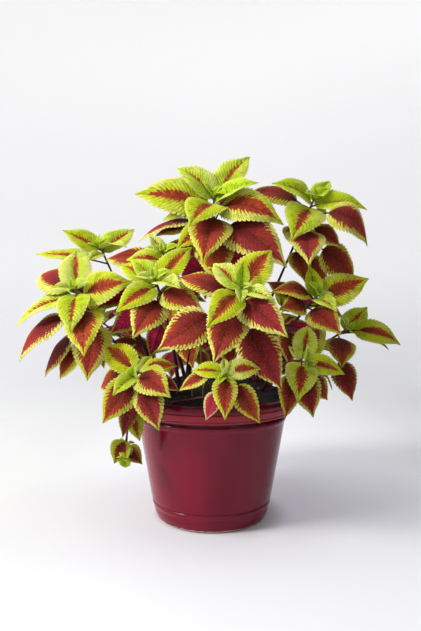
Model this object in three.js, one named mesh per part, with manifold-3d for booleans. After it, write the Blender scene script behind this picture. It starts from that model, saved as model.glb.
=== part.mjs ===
// A bushy coleus grown in a glazed flower pot.
// Millimetres, Z up. The origin is the middle of the pot's underside and the front looks along -Y.
import * as THREE from 'three';
import { mergeVertices } from 'three/addons/utils/BufferGeometryUtils.js';
import Module from 'manifold-3d';

const wasm = await Module();
wasm.setup();

// ---------- pot and soil ----------
const POT_SIDES = 28;
const RIM_TOP = 143;
const RIM_RADIUS = 98.3;
const FLOOR = 5.4;
const PIECE_GAP = 0.3;

// radius and height, from the middle of the underside up the outside to the rim
const POT_OUTSIDE = [
  [0, 0],
  [63, 0],
  [65.2, 1.6],
  [67.8, 9],
  [68.6, 15.2],
  [70, 16.6],
  [70.2, 19.4],
  [69.2, 20.8],
  [70.8, 22.6],
  [87, 112.6],
  [88.4, 114.4],
  [88.9, 117],
  [87.8, 119.2],
  [87.2, 121.2],
  [88, 123],
  [95.2, 123.4],
  [96, 125.2],
  [95.4, 126.2],
  [96.6, 127.2],
  [98, 132.8],
  [96.8, 133.7],
  [98, 135],
  [RIM_RADIUS, 137.4],
  [97.9, 140.2],
  [96.6, 142.2],
  [94.8, RIM_TOP],
];

// radius and height of the inner wall, from the rim down to the floor
const POT_INSIDE = [
  [93.2, 141],
  [92.8, 133.5],
  [83, 123.5],
  [62.5, 8],
  [58, FLOOR],
];

const SOIL_RADIUS = 92;
const SOIL_EDGE = 138;
const SOIL_TOP = 164;
const SOIL_RINGS = [70, 46, 23];

// ---------- stems ----------
const STEM_SIDES = 5;
const STEM_STEPS = 5;
const STEM_FOOT = 3.2;
const STEM_TIP = 1.7;
const ROOT_DEPTH = 12;
const PEG_ABOVE = 1.5;
const HOLE_SIDES = 6;
const BUD = 5;

// ---------- leaves ----------
const BLADE_THICKNESS = 0.8;
const STALK_RADIUS = 1.25;
const SHORTEST_STALK = 3.4;
const LONG_STALK = 14;
// teeth on each side of a blade that is shorter than the first number
const TEETH = [
  [42, 2],
  [74, 3],
  [Infinity, 4],
];
const FIRST_TOOTH = 0.14;
const NOTCH_AFTER = 0.3;
const TOOTH_REACH = 1.06;
const NOTCH_DEPTH = 0.86;

// The leaves are laid out for somebody who stands in front of the pot with this eye point.
// "across" and "up" are what this viewer measures in the plane through the pot's middle,
// and "depth" is how far behind that plane the point really is.
const EYE_DEPTH = 650;
const EYE_HEIGHT = 245;

// ---------- how far the pieces keep from one another ----------
const CLEAR = 2.2;
const OWN_CLEAR = 1.2;
const STEM_CLEAR = 4.7;
const OWN_STEM_CLEAR = 3;
const STALK_CLEAR = 4.5;
const STALK_TO_STEM = 7;
const NODE_AREA = 16;
const POT_CLEAR = 3.5;
const SHRINKS = [1, 0.88, 0.75, 0.62];
const TURNS = [0, 12, -12, 24, -24];
const STEPS = [0, 7, -7, 14, -14, 21, -21, 28, -28];

// ---------- the shoots of the front and the crown ----------
// root: where the stem leaves the soil, [x, y]
// knee: the point the stem bends towards, [x, y, z]
// apex: the top of the shoot, [across, up, depth]
// A leaf is [below, across, up, depth, face, age]:
//   below: how far under the top its stalk leaves the stem
//   across, up, depth: its tip
//   face: how far its upper side tips towards the front, in degrees
//   age: 0 for a leaf just open, 1 for an old one
// and, where a leaf differs from others of its age, the share of the leaf that is stalk,
// a factor on its breadth, or the height of its arch as a share of its length.
const SEEN_SHOOTS = {
  crown: {
    root: [3, 8],
    knee: [4, 6, 270],
    apex: [3, 376, 0],
    leaves: [
      [4, -42, 411, 22, 50, 0.25, { arch: 0.16 }],
      [4, 46, 425, 28, 50, 0.35, { broad: 0.85 }],
      [8, 57, 394, -25, 42, 0.15, { broad: 1.15 }],
      [10, -92, 380, -10, 65, 0.5, { arch: 0.08, broad: 1.08 }],
      [8, -27, 341, -60, 55, 0.5, { broad: 1.15 }],
      [14, 87, 343, -25, 58, 0.65, { stalk: 0.14, arch: 0.22, broad: 1.15 }],
      [22, -11, 297, -72, 74, 0.85],
      [30, 91, 292, -60, 62, 0.85, { stalk: 0.26, arch: 0.18, broad: 1.12 }],
      [16, -59, 348, 15, 45, 0.4],
      [50, 3, 273, -65, 70, 1],
      [30, 43, 384, 40, 15, 1, { stalk: 0.3 }],
      [32, -88, 322, 5, 20, 0.85, { stalk: 0.25, arch: 0.15 }],
      [36, -70, 328, -12, 34, 0.8, { stalk: 0.3, broad: 1.15 }],
      [34, -43, 313, -40, 60, 0.6, { stalk: 0.25 }],
      [14, 30, 352, 70, -40, 0.65],
      [22, -22, 312, 80, -50, 0.85],
      [50, 40, 285, 78, -60, 1],
      [70, -35, 262, 75, -65, 1],
    ],
  },
  upper_right: {
    root: [32, 22],
    knee: [80, 22, 270],
    apex: [122, 372, 20],
    leaves: [
      [4, 72, 393, 0, 50, 0.35, { broad: 1.15, arch: 0.13 }],
      [2, 142, 396, 48, 50, 0.15, { broad: 0.9, arch: 0.05 }],
      [8, 187, 361, 15, 42, 0.4, { arch: 0.13, broad: 1.15 }],
      [8, 96, 325, -35, 65, 0.55, { broad: 1.15 }],
      [26, 187, 317, -15, 44, 0.85, { stalk: 0.28, arch: 0.42, broad: 1.25 }],
      [40, 117, 294, -55, 78, 0.85],
      [14, 34, 375, 30, 40, 0.9, { stalk: 0.2, arch: 0.2, broad: 1.05 }],
      [32, 155, 316, 5, 52, 0.9, { stalk: 0.3, broad: 1.35 }],
      [52, 172, 273, 10, 70, 1, { stalk: 0.34, arch: 0.24, broad: 1.1 }],
      [62, 113, 273, -15, 80, 1, { broad: 0.9 }],
      [62, 140, 270, 0, 75, 1, { stalk: 0.35 }],
      [14, 132, 340, 75, -35, 0.65],
      [32, 98, 316, 85, -50, 0.85, { broad: 1.15 }],
    ],
  },
  centre_front: {
    root: [14, -42],
    knee: [16, -70, 225],
    apex: [34, 266, -110],
    leaves: [
      [3, 2, 297, -75, 55, 0.25],
      [4, 72, 313, -85, 62, 0.55, { broad: 1.15 }],
      [3, 76, 253, -130, 45, 0.2],
      [5, -6, 219, -145, 68, 0.55],
      [14, 92, 208, -140, 72, 0.75],
      [22, -65, 193, -105, 72, 0.85, { stalk: 0.36, broad: 1.1 }],
      [24, 2, 177, -150, 80, 0.85],
      [34, 84, 145, -110, 72, 1, { stalk: 0.27, broad: 0.95 }],
      [16, -43, 279, -75, 40, 0.85],
      [18, -26, 315, -60, 60, 0.5, { stalk: 0.3 }],
      [55, 20, 168, -95, 72, 0.9, { stalk: 0.42 }],
    ],
  },
  centre_left: {
    root: [-38, -30],
    knee: [-44, -42, 220],
    apex: [-67, 276, -60],
    leaves: [
      [3, -94, 301, -35, 50, 0.2],
      [5, -23, 317, -45, 60, 0.5],
      [2, -37, 267, -90, 45, 0.15],
      [8, -110, 295, -35, 45, 0.5],
      [6, -115, 238, -85, 62, 0.5],
      [12, -9, 239, -90, 68, 0.75],
      [20, -95, 207, -105, 80, 0.8, { broad: 1.15 }],
      [26, -123, 211, -45, -55, 0.8],
      [40, -74, 184, -40, -55, 0.8, { stalk: 0.3 }],
      [30, -118, 237, -20, 60, 0.9, { stalk: 0.3, broad: 0.8 }],
    ],
  },
  far_left: {
    root: [-62, -16],
    knee: [-118, -24, 205],
    apex: [-163, 264, -35],
    leaves: [
      [3, -161, 313, 15, 62, 0.4, { broad: 0.95 }],
      [3, -169, 213, -85, 60, 0.45],
      [8, -235, 221, -30, 27, 0.45, { stalk: 0.12, broad: 1.05 }],
      [8, -94, 275, -45, 65, 0.6, { stalk: 0.12, broad: 1.2 }],
      [7, -205, 283, 25, 50, 0.75],
      [30, -231, 178, -40, 28, 0.9, { stalk: 0.28, arch: 0.19 }],
      [24, -153, 185, -95, 78, 0.85],
      [42, -149, 156, -62, 74, 0.8, { stalk: 0.1, broad: 1.12 }],
      [45, -200, 160, -25, 24, 1, { stalk: 0.38, broad: 1.2 }],
      [52, -182, 158, -50, 36, 0.9, { stalk: 0.52, broad: 1.35 }],
      [44, -129, 171, -45, 72, 0.95, { stalk: 0.2 }],
      [14, -150, 262, 55, -30, 0.75],
      [30, -160, 215, 60, -50, 0.9],
    ],
  },
  upper_left: {
    root: [-64, 12],
    knee: [-98, 16, 235],
    apex: [-133, 316, 20],
    leaves: [
      [4, -179, 337, 20, 52, 0.45, { arch: 0.04, broad: 1.05 }],
      [4, -92, 338, 50, 55, 0.4, { arch: 0.03, broad: 1.1 }],
      [2, -101, 316, -10, 15, 0.1],
      [22, -211, 308, 25, 28, 0.5, { stalk: 0.3, arch: 0.04 }],
      [8, -149, 299, -5, 60, 0.3],
      [132, -121, 202, 8, 36, 1],
      [10, -140, 322, 75, -25, 0.5],
    ],
  },
  small_bright: {
    root: [-26, -2],
    knee: [-34, -6, 240],
    apex: [-57, 308, -25],
    leaves: [
      [3, -76, 333, -5, 50, 0.1],
      [3, -41, 321, -40, 50, 0.1],
      [10, -103, 301, -20, 50, 0.45, { broad: 1.1 }],
      [22, -128, 300, 12, 42, 0.9, { arch: 0.16 }],
      [95, -22, 171, -60, 78, 0.95],
    ],
  },
  right: {
    root: [52, -6],
    knee: [84, -10, 215],
    apex: [126, 257, -20],
    leaves: [
      [3, 117, 295, 12, 62, 0.3],
      [8, 189, 279, -10, 66, 0.6, { stalk: 0.16, broad: 1.06, arch: 0.06 }],
      [3, 151, 239, -55, 50, 0.25],
      [5, 70, 262, -35, 45, 0.9, { arch: 0.22 }],
      [14, 82, 243, -45, 66, 1, { broad: 1.25 }],
      [18, 156, 211, -60, 72, 0.85, { broad: 1.12 }],
      [14, 158, 232, -10, 60, 0.7],
      [50, 92, 174, -55, 75, 0.95],
      [20, 66, 275, 5, 45, 1, { stalk: 0.3 }],
      [34, 86, 224, 10, 60, 1, { stalk: 0.3, broad: 0.9 }],
    ],
  },
  far_right: {
    root: [66, 18],
    knee: [120, 14, 190],
    apex: [160, 217, 0],
    leaves: [
      [3, 187, 245, 25, 52, 0.35, { arch: 0.03 }],
      [6, 227, 199, -5, 52, 0.55, { stalk: 0.24, arch: 0.21, broad: 1.06 }],
      [12, 156, 171, -50, 68, 1, { broad: 1.1 }],
      [26, 169, 132, -20, 80, 1, { stalk: 0.4, broad: 1 }],
      [10, 213, 193, 20, 5, 0.9, { stalk: 0.35 }],
    ],
  },
  lower_right: {
    root: [56, -38],
    knee: [78, -54, 192],
    apex: [110, 179, -70],
    leaves: [
      [3, 116, 223, -40, 62, 0.35],
      [6, 160, 164, -75, 56, 0.5, { stalk: 0.14 }],
      [3, 103, 131, -110, 66, 0.5, { broad: 1.12 }],
      [3, 92, 198, -60, 50, 0.3],
      [10, 130, 220, -20, 60, 0.6],
      [12, 122, 112, -90, 80, 0.8, { stalk: 0.28, broad: 1.15 }],
      [12, 139, 133, -60, 80, 1, { stalk: 0.4, broad: 1.15 }],
      [16, 88, 111, -95, 82, 0.9, { stalk: 0.34, broad: 0.9 }],
    ],
  },
  lower_left: {
    root: [-44, -48],
    knee: [-62, -66, 196],
    apex: [-91, 163, -85],
    leaves: [
      [3, -128, 199, -50, 62, 0.55],
      [2, -71, 186, -65, 50, 0.15],
      [2, -119, 138, -110, 50, 0.2],
      [5, -49, 136, -120, 66, 0.65, { broad: 1.15 }],
      [6, -41, 174, -75, 50, 0.7],
      [8, -131, 105, -105, 72, 0.75, { stalk: 0.26, broad: 1.15 }],
      [8, -63, 96, -115, 82, 0.75, { stalk: 0.35, broad: 1.1 }],
      [8, -133, 147, -50, 60, 0.9, { stalk: 0.3, broad: 1.2 }],
      [10, -39, 144, -95, 60, 0.9, { stalk: 0.55 }],
    ],
  },
  lower_front: {
    root: [8, -64],
    knee: [10, -96, 200],
    apex: [16, 164, -125],
    leaves: [
      [3, -25, 168, -115, 56, 0.4],
      [3, 59, 171, -118, 60, 0.45, { broad: 1.15 }],
      [0, 15, 183, -108, 60, 0],
      [0, 8, 152, -142, 50, 0],
      [8, -39, 144, -120, 42, 0.65, { stalk: 0.36 }],
      [6, 16, 109, -150, 76, 0.7, { stalk: 0.2, broad: 0.95 }],
      [12, -7, 109, -122, 85, 0.8, { stalk: 0.5 }],
      [10, 58, 105, -135, 76, 0.85, { stalk: 0.36, broad: 0.95 }],
    ],
  },
  hanging: {
    root: [-58, -34],
    knee: [-84, -74, 196],
    apex: [-103, 75, -64],
    leaves: [
      [46, -107, 88, -85, 78, 0.9, { stalk: 0.2, broad: 0.85 }],
      [6, -117, 57, -78, 80, 0.6, { broad: 1.6 }],
      [3, -83, 56, -75, 75, 0.8, { broad: 1.2 }],
      [30, -86, 84, -42, 60, 0.5],
      [0, -102, 59, -88, 75, 0.3],
      [4, -92, 82, -50, 60, 0.4],
      [3, -110, 88, -60, 60, 0.1],
    ],
  },
};

// ---------- the shoots behind, which share one rule ----------
// apex is [x, y, z] here; heading turns the first pair of leaves, in degrees
const BACK_SHOOTS = {
  back_left: { root: [-34, 34], knee: [-52, 56, 225], apex: [-92, 88, 272], pairs: 4, heading: 30 },
  back_middle: { root: [2, 46], knee: [0, 66, 260], apex: [8, 98, 322], pairs: 5, heading: 10 },
  back_right: { root: [36, 50], knee: [60, 66, 205], apex: [98, 96, 246], pairs: 5, heading: 70 },
  back_low_left: { root: [-26, 68], knee: [-32, 96, 195], apex: [-46, 136, 190], pairs: 4, heading: 25 },
  back_low_right: { root: [22, 74], knee: [34, 102, 198], apex: [52, 140, 190], pairs: 4, heading: 65 },
  left_behind: { root: [-66, 42], knee: [-104, 56, 200], apex: [-150, 80, 226], pairs: 4, heading: 60 },
  right_behind: { root: [62, 42], knee: [98, 64, 182], apex: [136, 90, 196], pairs: 4, heading: 35 },
};

// one entry per pair of leaves, from the top of the shoot down
const PAIR_BELOW = [3, 8, 18, 34, 54];
const PAIR_REACH = [40, 62, 78, 86, 84];
const PAIR_RISE = [48, 20, -8, -30, -48];
const PAIR_AGE = [0.2, 0.45, 0.7, 0.85, 1];
const PAIR_FACE = 40;
const RANDOM_START = 20817;

// ---------- small helpers ----------
const vec = (x, y, z) => new THREE.Vector3(x, y, z);
const radians = THREE.MathUtils.degToRad;
const ACROSS = vec(1, 0, 0);
const UPRIGHT = vec(0, 0, 1);

function plus(point, ...terms) {
  const sum = point.clone();
  for (const [amount, direction] of terms) {
    sum.addScaledVector(direction, amount);
  }
  return sum;
}

function evenly(count, from, to) {
  return Array.from({ length: count }, (_, i) => from + ((to - from) * i) / (count - 1));
}

let randomState = RANDOM_START;
function spread(size) {
  randomState = (Math.imul(randomState, 1664525) + 1013904223) >>> 0;
  return (randomState / 4294967296 - 0.5) * 2 * size;
}

function seen(across, up, depth) {
  const k = 1 + depth / EYE_DEPTH;
  return vec(across * k, depth, EYE_HEIGHT + (up - EYE_HEIGHT) * k);
}

function soilHeight(radius) {
  const share = Math.min(radius, SOIL_RADIUS) / SOIL_RADIUS;
  return SOIL_EDGE + (SOIL_TOP - SOIL_EDGE) * (1 - share ** 2);
}

// ---------- a stem, as a curve ----------
class Stem {
  constructor(name, root, knee, apex) {
    this.name = name;
    this.root = vec(root[0], root[1], soilHeight(Math.hypot(root[0], root[1])));
    this.apex = apex;
    this.curve = new THREE.QuadraticBezierCurve3(this.root, vec(...knee), apex);
    this.length = this.curve.getLengths(60).at(-1);
    const count = Math.max(4, Math.floor(this.length / 5));
    this.line = evenly(count, 0, 1).map((t) => this.curve.getPoint(t));
  }

  node(below) {
    return this.curve.getPoint(1 - below / this.length);
  }
}

// ---------- a leaf, as an arched and folded sheet on a stalk ----------
class Leaf {
  constructor(stem, node, tip, look, age, { stalk, broad = 1, arch } = {}) {
    this.stem = stem;
    this.node = node;
    this.tip = tip;
    this.age = age;
    this.reach = tip.distanceTo(node);
    this.along = tip.clone().sub(node).normalize();
    this.up = plus(look, [-look.dot(this.along), this.along]).normalize();
    this.side = this.along.clone().cross(this.up);
    this.stalk = Math.max(stalk ?? 0.03 + 0.2 * age ** 1.5, SHORTEST_STALK / this.reach);
    this.blade = this.reach * (1 - this.stalk);
    this.half = ((this.blade * (0.45 + 0.19 * Math.sqrt(age))) / 2) * broad;
    this.arch = arch ?? 0.08 + 0.06 * age;
    this.fold = Math.tan(radians(22 - 30 * age));
    this.middle = node.clone().add(tip).multiplyScalar(0.5);
  }

  // the midrib's line, with t from 0 at the stem to 1 at the tip
  midrib(t) {
    const lift = 4 * this.arch * this.reach * t * (1 - t);
    return plus(this.node, [t * this.reach, this.along], [lift, this.up]);
  }

  // how wide the blade is at s, where s is 0 at its base and 1 at its tip
  outline(s) {
    const a = 0.6 - 0.06 * this.age;
    const b = 0.86 + 0.2 * this.age;
    const widest = a / (a + b);
    return (s ** a * (1 - s) ** b) / (widest ** a * (1 - widest) ** b);
  }

  // a point of the blade: s along it, q from -1 to 1 across it
  surface(s, q) {
    const width = this.half * this.outline(s);
    const lift = Math.abs(q) * width * this.fold;
    return plus(this.midrib(this.stalk + (1 - this.stalk) * s), [q * width, this.side], [lift, this.up]);
  }

  // points that stand for the leaf when its distance from others is judged
  sample() {
    const stations = evenly(11, 0, 1);
    this.bladePoints = stations.map((s) => this.surface(s, 0));
    for (const q of [1, -1, 0.5, -0.5]) {
      this.bladePoints.push(...stations.slice(1, -1).map((s) => this.surface(s, q)));
    }
    this.stalkPoints = evenly(6, 0, this.stalk).slice(1).map((t) => this.midrib(t));
    this.points = [...this.bladePoints, ...this.stalkPoints];
  }

  // how far a point is above the sheet, or null where it is beside it
  height(point) {
    const arm = point.clone().sub(this.node);
    const t = arm.dot(this.along) / this.reach;
    const q = arm.dot(this.side);
    const s = (t - this.stalk) / (1 - this.stalk);
    const within = Math.min(Math.max(s, 0.02), 0.98);
    if (s <= -0.03 || s >= 1.03 || Math.abs(q) >= this.half * this.outline(within) + 2) {
      return null;
    }
    return arm.dot(this.up) - 4 * this.arch * this.reach * t * (1 - t) - Math.abs(q) * this.fold;
  }
}

// ---------- bending leaves clear of one another ----------
const RIM_TOUCH = RIM_RADIUS + POT_CLEAR;

function potTouches(points) {
  return points.filter((p) => {
    const r = Math.hypot(p.x, p.y);
    const onRim = r < RIM_TOUCH && r > SOIL_RADIUS - 2 && p.z < RIM_TOP + POT_CLEAR;
    const onSoil = r <= SOIL_RADIUS - 2 && p.z < soilHeight(r) + POT_CLEAR;
    const onWall = r < RIM_TOUCH && p.z < SOIL_EDGE;
    return onRim || onSoil || onWall;
  }).length;
}

// counts points too near a leaf's sheet, and points on the lesser side of it
function crossings(points, leaf, gap) {
  const heights = points.map((p) => leaf.height(p)).filter((h) => h !== null);
  const near = heights.filter((h) => Math.abs(h) < gap).length;
  const over = heights.filter((h) => h > 0).length;
  const under = heights.filter((h) => h < 0).length;
  return near + Math.min(over, under);
}

function nearest(some, others) {
  return Math.min(...some.map((p) => Math.min(...others.map((q) => p.distanceTo(q)))));
}

function beyond(points, ...nodes) {
  return points.filter((p) => nodes.every((node) => p.distanceTo(node) > NODE_AREA));
}

function clashes(leaf, placed, stems) {
  let total = potTouches(leaf.points);
  for (const other of placed) {
    if (leaf.middle.distanceTo(other.middle) > (leaf.reach + other.reach) * 0.62) {
      continue;
    }
    if (other.stem === leaf.stem) {
      total += crossings(beyond(leaf.points, leaf.node, other.node), other, OWN_CLEAR);
      total += crossings(beyond(other.points, leaf.node, other.node), leaf, OWN_CLEAR);
    } else {
      total += crossings(leaf.points, other, CLEAR);
      total += crossings(other.points, leaf, CLEAR);
      total += nearest(leaf.stalkPoints, other.stalkPoints) < STALK_CLEAR ? 1 : 0;
    }
  }
  for (const stem of stems) {
    if (stem === leaf.stem) {
      total += crossings(beyond(stem.line, leaf.node), leaf, OWN_STEM_CLEAR);
    } else {
      total += crossings(stem.line, leaf, STEM_CLEAR);
      total += nearest(leaf.stalkPoints, stem.line) < STALK_TO_STEM ? 1 : 0;
    }
  }
  return total;
}

// takes the first of the slightly smaller, turned or shifted forms that touches nothing
function place(make, placed, stems) {
  let best = null;
  let fewest = Infinity;
  for (const shrink of SHRINKS) {
    for (const turn of TURNS) {
      for (const step of STEPS) {
        const leaf = make(shrink, turn, step);
        leaf.sample();
        const total = clashes(leaf, placed, stems);
        if (total < fewest) {
          best = leaf;
          fewest = total;
        }
        if (total === 0) {
          placed.push(best);
          return;
        }
      }
    }
  }
  placed.push(best);
}

function growSeen(stem, rows, placed, stems) {
  for (const [below, across, up, depth, face, age, own] of rows) {
    const node = stem.node(below);
    place(
      (shrink, turn, step) => {
        const reach = seen(across, up, depth + step).sub(node);
        const tilt = radians(face + turn);
        const look = vec(0, -Math.sin(tilt), Math.cos(tilt));
        return new Leaf(stem, node, plus(node, [shrink, reach]), look, age, own);
      },
      placed,
      stems,
    );
  }
}

function growBehind(stem, { pairs, heading }, placed, stems) {
  const outward = vec(stem.apex.x, stem.apex.y, 0).normalize();
  for (let pair = 0; pair < pairs; pair += 1) {
    for (const half of [0, 180]) {
      const node = stem.node(PAIR_BELOW[pair]);
      const turned = radians(heading + 90 * pair + half + spread(9));
      const size = PAIR_REACH[pair] * (1 + spread(0.08));
      const risen = PAIR_RISE[pair] + spread(6);
      place(
        (shrink, turn, step) => {
          const rise = radians(risen + step);
          const flat = vec(Math.cos(turned), Math.sin(turned), 0);
          const tip = plus(
            node,
            [size * shrink * Math.cos(rise), flat],
            [size * shrink * Math.sin(rise), UPRIGHT],
          );
          const tilt = radians(PAIR_FACE + turn);
          const look = plus(vec(0, 0, Math.cos(tilt)), [Math.sin(tilt), outward]);
          return new Leaf(stem, node, tip, look, PAIR_AGE[pair]);
        },
        placed,
        stems,
      );
    }
  }
}

// ---------- solids ----------
function solid(points, faces) {
  const vertProperties = new Float32Array(points.flatMap((p) => [p.x, p.y, p.z]));
  const triVerts = new Uint32Array(faces.flat());
  return new wasm.Manifold(new wasm.Mesh({ numProp: 3, vertProperties, triVerts }));
}

// a closed body of rings with the same number of corners; a last point closes it to a tip
function ringBody(rings, tip) {
  const sides = rings[0].length;
  const points = rings.flat();
  const faces = [];
  for (let ring = 0; ring + 1 < rings.length; ring += 1) {
    for (let side = 0; side < sides; side += 1) {
      const a = ring * sides + side;
      const b = ring * sides + ((side + 1) % sides);
      faces.push([a, b, b + sides], [a, b + sides, a + sides]);
    }
  }
  for (let side = 1; side + 1 < sides; side += 1) {
    faces.push([0, side + 1, side]);
  }
  const last = (rings.length - 1) * sides;
  if (tip) {
    points.push(tip);
    for (let side = 0; side < sides; side += 1) {
      faces.push([last + side, last + ((side + 1) % sides), points.length - 1]);
    }
  } else {
    for (let side = 1; side + 1 < sides; side += 1) {
      faces.push([last, last + side, last + side + 1]);
    }
  }
  return solid(points, faces);
}

function ring(middle, direction, radius, sides) {
  const first = plus(ACROSS, [-ACROSS.dot(direction), direction]).normalize();
  const second = direction.clone().cross(first);
  return evenly(sides + 1, 0, Math.PI * 2)
    .slice(0, sides)
    .map((angle) => plus(middle, [radius * Math.cos(angle), first], [radius * Math.sin(angle), second]));
}

// the stem stands on a straight peg that goes down into the soil and ends above in a bud
function stemSolid(stem) {
  const rings = [
    ring(plus(stem.root, [-ROOT_DEPTH, UPRIGHT]), UPRIGHT, STEM_FOOT, STEM_SIDES),
    ring(plus(stem.root, [PEG_ABOVE, UPRIGHT]), UPRIGHT, STEM_FOOT, STEM_SIDES),
  ];
  for (const t of evenly(STEM_STEPS + 1, 0, 1).slice(1)) {
    const radius = STEM_FOOT + (STEM_TIP - STEM_FOOT) * t;
    rings.push(ring(stem.curve.getPoint(t), stem.curve.getTangent(t), radius, STEM_SIDES));
  }
  return ringBody(rings, plus(stem.apex, [BUD, stem.curve.getTangent(1)]));
}

// A leaf is one closed skin: a three-sided stalk that opens into a thin blade. The two faces of
// the blade are split alike; they meet in an edge at the points of the teeth and at the tip, and
// stand one thickness apart everywhere else.
function leafSolid(leaf) {
  const teeth = TEETH.find(([blade]) => leaf.blade < blade)[1];
  const points = [];
  const faces = [];

  const addSingle = (s, q) => {
    points.push(leaf.surface(s, q));
    return [points.length - 1, points.length - 1];
  };
  const addDouble = (s, q) => {
    const middle = leaf.surface(s, q);
    points.push(plus(middle, [BLADE_THICKNESS / 2, leaf.up]));
    points.push(plus(middle, [-BLADE_THICKNESS / 2, leaf.up]));
    return [points.length - 2, points.length - 1];
  };

  const steps = leaf.stalk * leaf.reach > LONG_STALK ? 2 : 1;
  for (const t of evenly(steps + 1, 0, leaf.stalk)) {
    const middle = leaf.midrib(t);
    const width = STALK_RADIUS * Math.cos(Math.PI / 6);
    points.push(plus(middle, [width, leaf.side], [STALK_RADIUS / 2, leaf.up]));
    points.push(plus(middle, [-width, leaf.side], [STALK_RADIUS / 2, leaf.up]));
    points.push(plus(middle, [-STALK_RADIUS, leaf.up]));
  }
  faces.push([0, 1, 2]);
  for (let step = 0; step < steps; step += 1) {
    for (const [a, b] of [[0, 1], [1, 2], [2, 0]]) {
      const low = step * 3;
      faces.push([low + a, low + 3 + b, low + b], [low + a, low + 3 + a, low + 3 + b]);
    }
  }

  const mouth = steps * 3;
  const tip = { s: 1, at: addSingle(1, 0) };
  const ribs = evenly(teeth + 1, 0, 1).slice(1, -1).map((s) => ({ s, at: addDouble(s, 0) }));
  faces.push([mouth, ribs[0].at[0], mouth + 1]);
  for (const side of [1, -1]) {
    const base = { s: 0, at: [side > 0 ? mouth : mouth + 1, mouth + 2] };
    const edge = [base];
    for (let tooth = 0; tooth < teeth; tooth += 1) {
      const s = FIRST_TOOTH + ((1 - FIRST_TOOTH) * tooth) / teeth;
      const notch = s + NOTCH_AFTER / teeth;
      edge.push({ s, at: addSingle(s, side * TOOTH_REACH) });
      edge.push({ s: notch, at: addDouble(notch, side * NOTCH_DEPTH) });
    }
    edge.push(tip);

    const flat = (a, b, c) => {
      const [first, second] = side > 0 ? [b, c] : [c, b];
      faces.push([a.at[0], first.at[0], second.at[0]]);
      faces.push([a.at[1], second.at[1], first.at[1]]);
    };
    const rib = [base, ...ribs, tip];
    let i = 0;
    let j = 1;
    while (i < rib.length - 2 || j < edge.length - 2) {
      const ribDone = i >= rib.length - 2;
      const edgeDone = j >= edge.length - 2;
      if (!edgeDone && (ribDone || edge[j + 1].s < rib[i + 1].s)) {
        flat(rib[i], edge[j], edge[j + 1]);
        j += 1;
      } else {
        flat(rib[i], edge[j], rib[i + 1]);
        i += 1;
      }
    }
    flat(rib[i], edge[j], tip);

    for (let k = 0; k + 1 < edge.length; k += 1) {
      const [a, b] = side > 0 ? [edge[k].at, edge[k + 1].at] : [edge[k + 1].at, edge[k].at];
      for (const corners of [[a[0], a[1], b[1]], [a[0], b[1], b[0]]]) {
        if (new Set(corners).size === 3) {
          faces.push(corners);
        }
      }
    }
  }
  return solid(points, faces);
}

function shootSolid(stem, leaves) {
  let body = stemSolid(stem);
  for (const leaf of leaves) {
    body = body.add(leafSolid(leaf));
  }
  return body;
}

// ---------- pot and soil as turned bodies ----------
function turned(profile) {
  const outline = profile.map(([radius, z]) => new THREE.Vector2(radius, z));
  const shape = new THREE.LatheGeometry(outline, POT_SIDES).rotateX(Math.PI / 2);
  shape.deleteAttribute('normal');
  shape.deleteAttribute('uv');
  const merged = mergeVertices(shape, 1e-3);
  const position = merged.getAttribute('position');
  const points = Array.from({ length: position.count }, (_, i) => vec().fromBufferAttribute(position, i));
  const faces = [];
  for (let i = 0; i < merged.index.count; i += 3) {
    const face = [0, 1, 2].map((corner) => merged.index.getX(i + corner));
    if (new Set(face).size === 3) {
      faces.push(face);
    }
  }
  return solid(points, faces);
}

function potSolid() {
  return turned([...POT_OUTSIDE, ...POT_INSIDE, [0, FLOOR]]);
}

function soilSolid(stems) {
  const wall = POT_INSIDE.slice(1).reverse().map(([radius, z]) => [radius - PIECE_GAP, z + PIECE_GAP]);
  const mound = SOIL_RINGS.map((radius) => [radius, soilHeight(radius)]);
  const edge = [SOIL_RADIUS, SOIL_EDGE];
  let body = turned([[0, FLOOR + PIECE_GAP], ...wall, edge, ...mound, [0, SOIL_TOP]]);
  const holeRadius = (STEM_FOOT + PIECE_GAP) / Math.cos(Math.PI / HOLE_SIDES);
  for (const stem of stems) {
    const bottom = plus(stem.root, [-ROOT_DEPTH - PIECE_GAP, UPRIGHT]);
    const top = plus(stem.root, [8, UPRIGHT]);
    const rings = [bottom, top].map((middle) => ring(middle, UPRIGHT, holeRadius, HOLE_SIDES));
    body = body.subtract(ringBody(rings));
  }
  return body;
}

// ---------- the assembly ----------
const group = new THREE.Group();
group.name = 'potted_coleus';

function addPiece(name, body, colour, roughness) {
  const mesh = body.getMesh();
  const geometry = new THREE.BufferGeometry();
  geometry.setAttribute('position', new THREE.BufferAttribute(mesh.vertProperties, 3));
  geometry.setIndex(new THREE.BufferAttribute(mesh.triVerts, 1));
  const piece = new THREE.Mesh(geometry, new THREE.MeshStandardMaterial({ color: colour, roughness }));
  piece.name = name;
  group.add(piece);
}

const stems = [];
for (const [name, { root, knee, apex }] of Object.entries(SEEN_SHOOTS)) {
  stems.push(new Stem(name, root, knee, seen(...apex)));
}
for (const [name, { root, knee, apex }] of Object.entries(BACK_SHOOTS)) {
  stems.push(new Stem(name, root, knee, vec(...apex)));
}

const leaves = [];
for (const stem of stems) {
  if (stem.name in SEEN_SHOOTS) {
    growSeen(stem, SEEN_SHOOTS[stem.name].leaves, leaves, stems);
  } else {
    growBehind(stem, BACK_SHOOTS[stem.name], leaves, stems);
  }
}

addPiece('pot', potSolid(), 0x6e1626, 0.25);
addPiece('soil', soilSolid(stems), 0x2c211b, 0.95);
for (const stem of stems) {
  const own = leaves.filter((leaf) => leaf.stem === stem);
  addPiece(`shoot_${stem.name}`, shootSolid(stem, own), 0x9fbf35, 0.6);
}

export default group;
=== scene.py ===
import math

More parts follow.
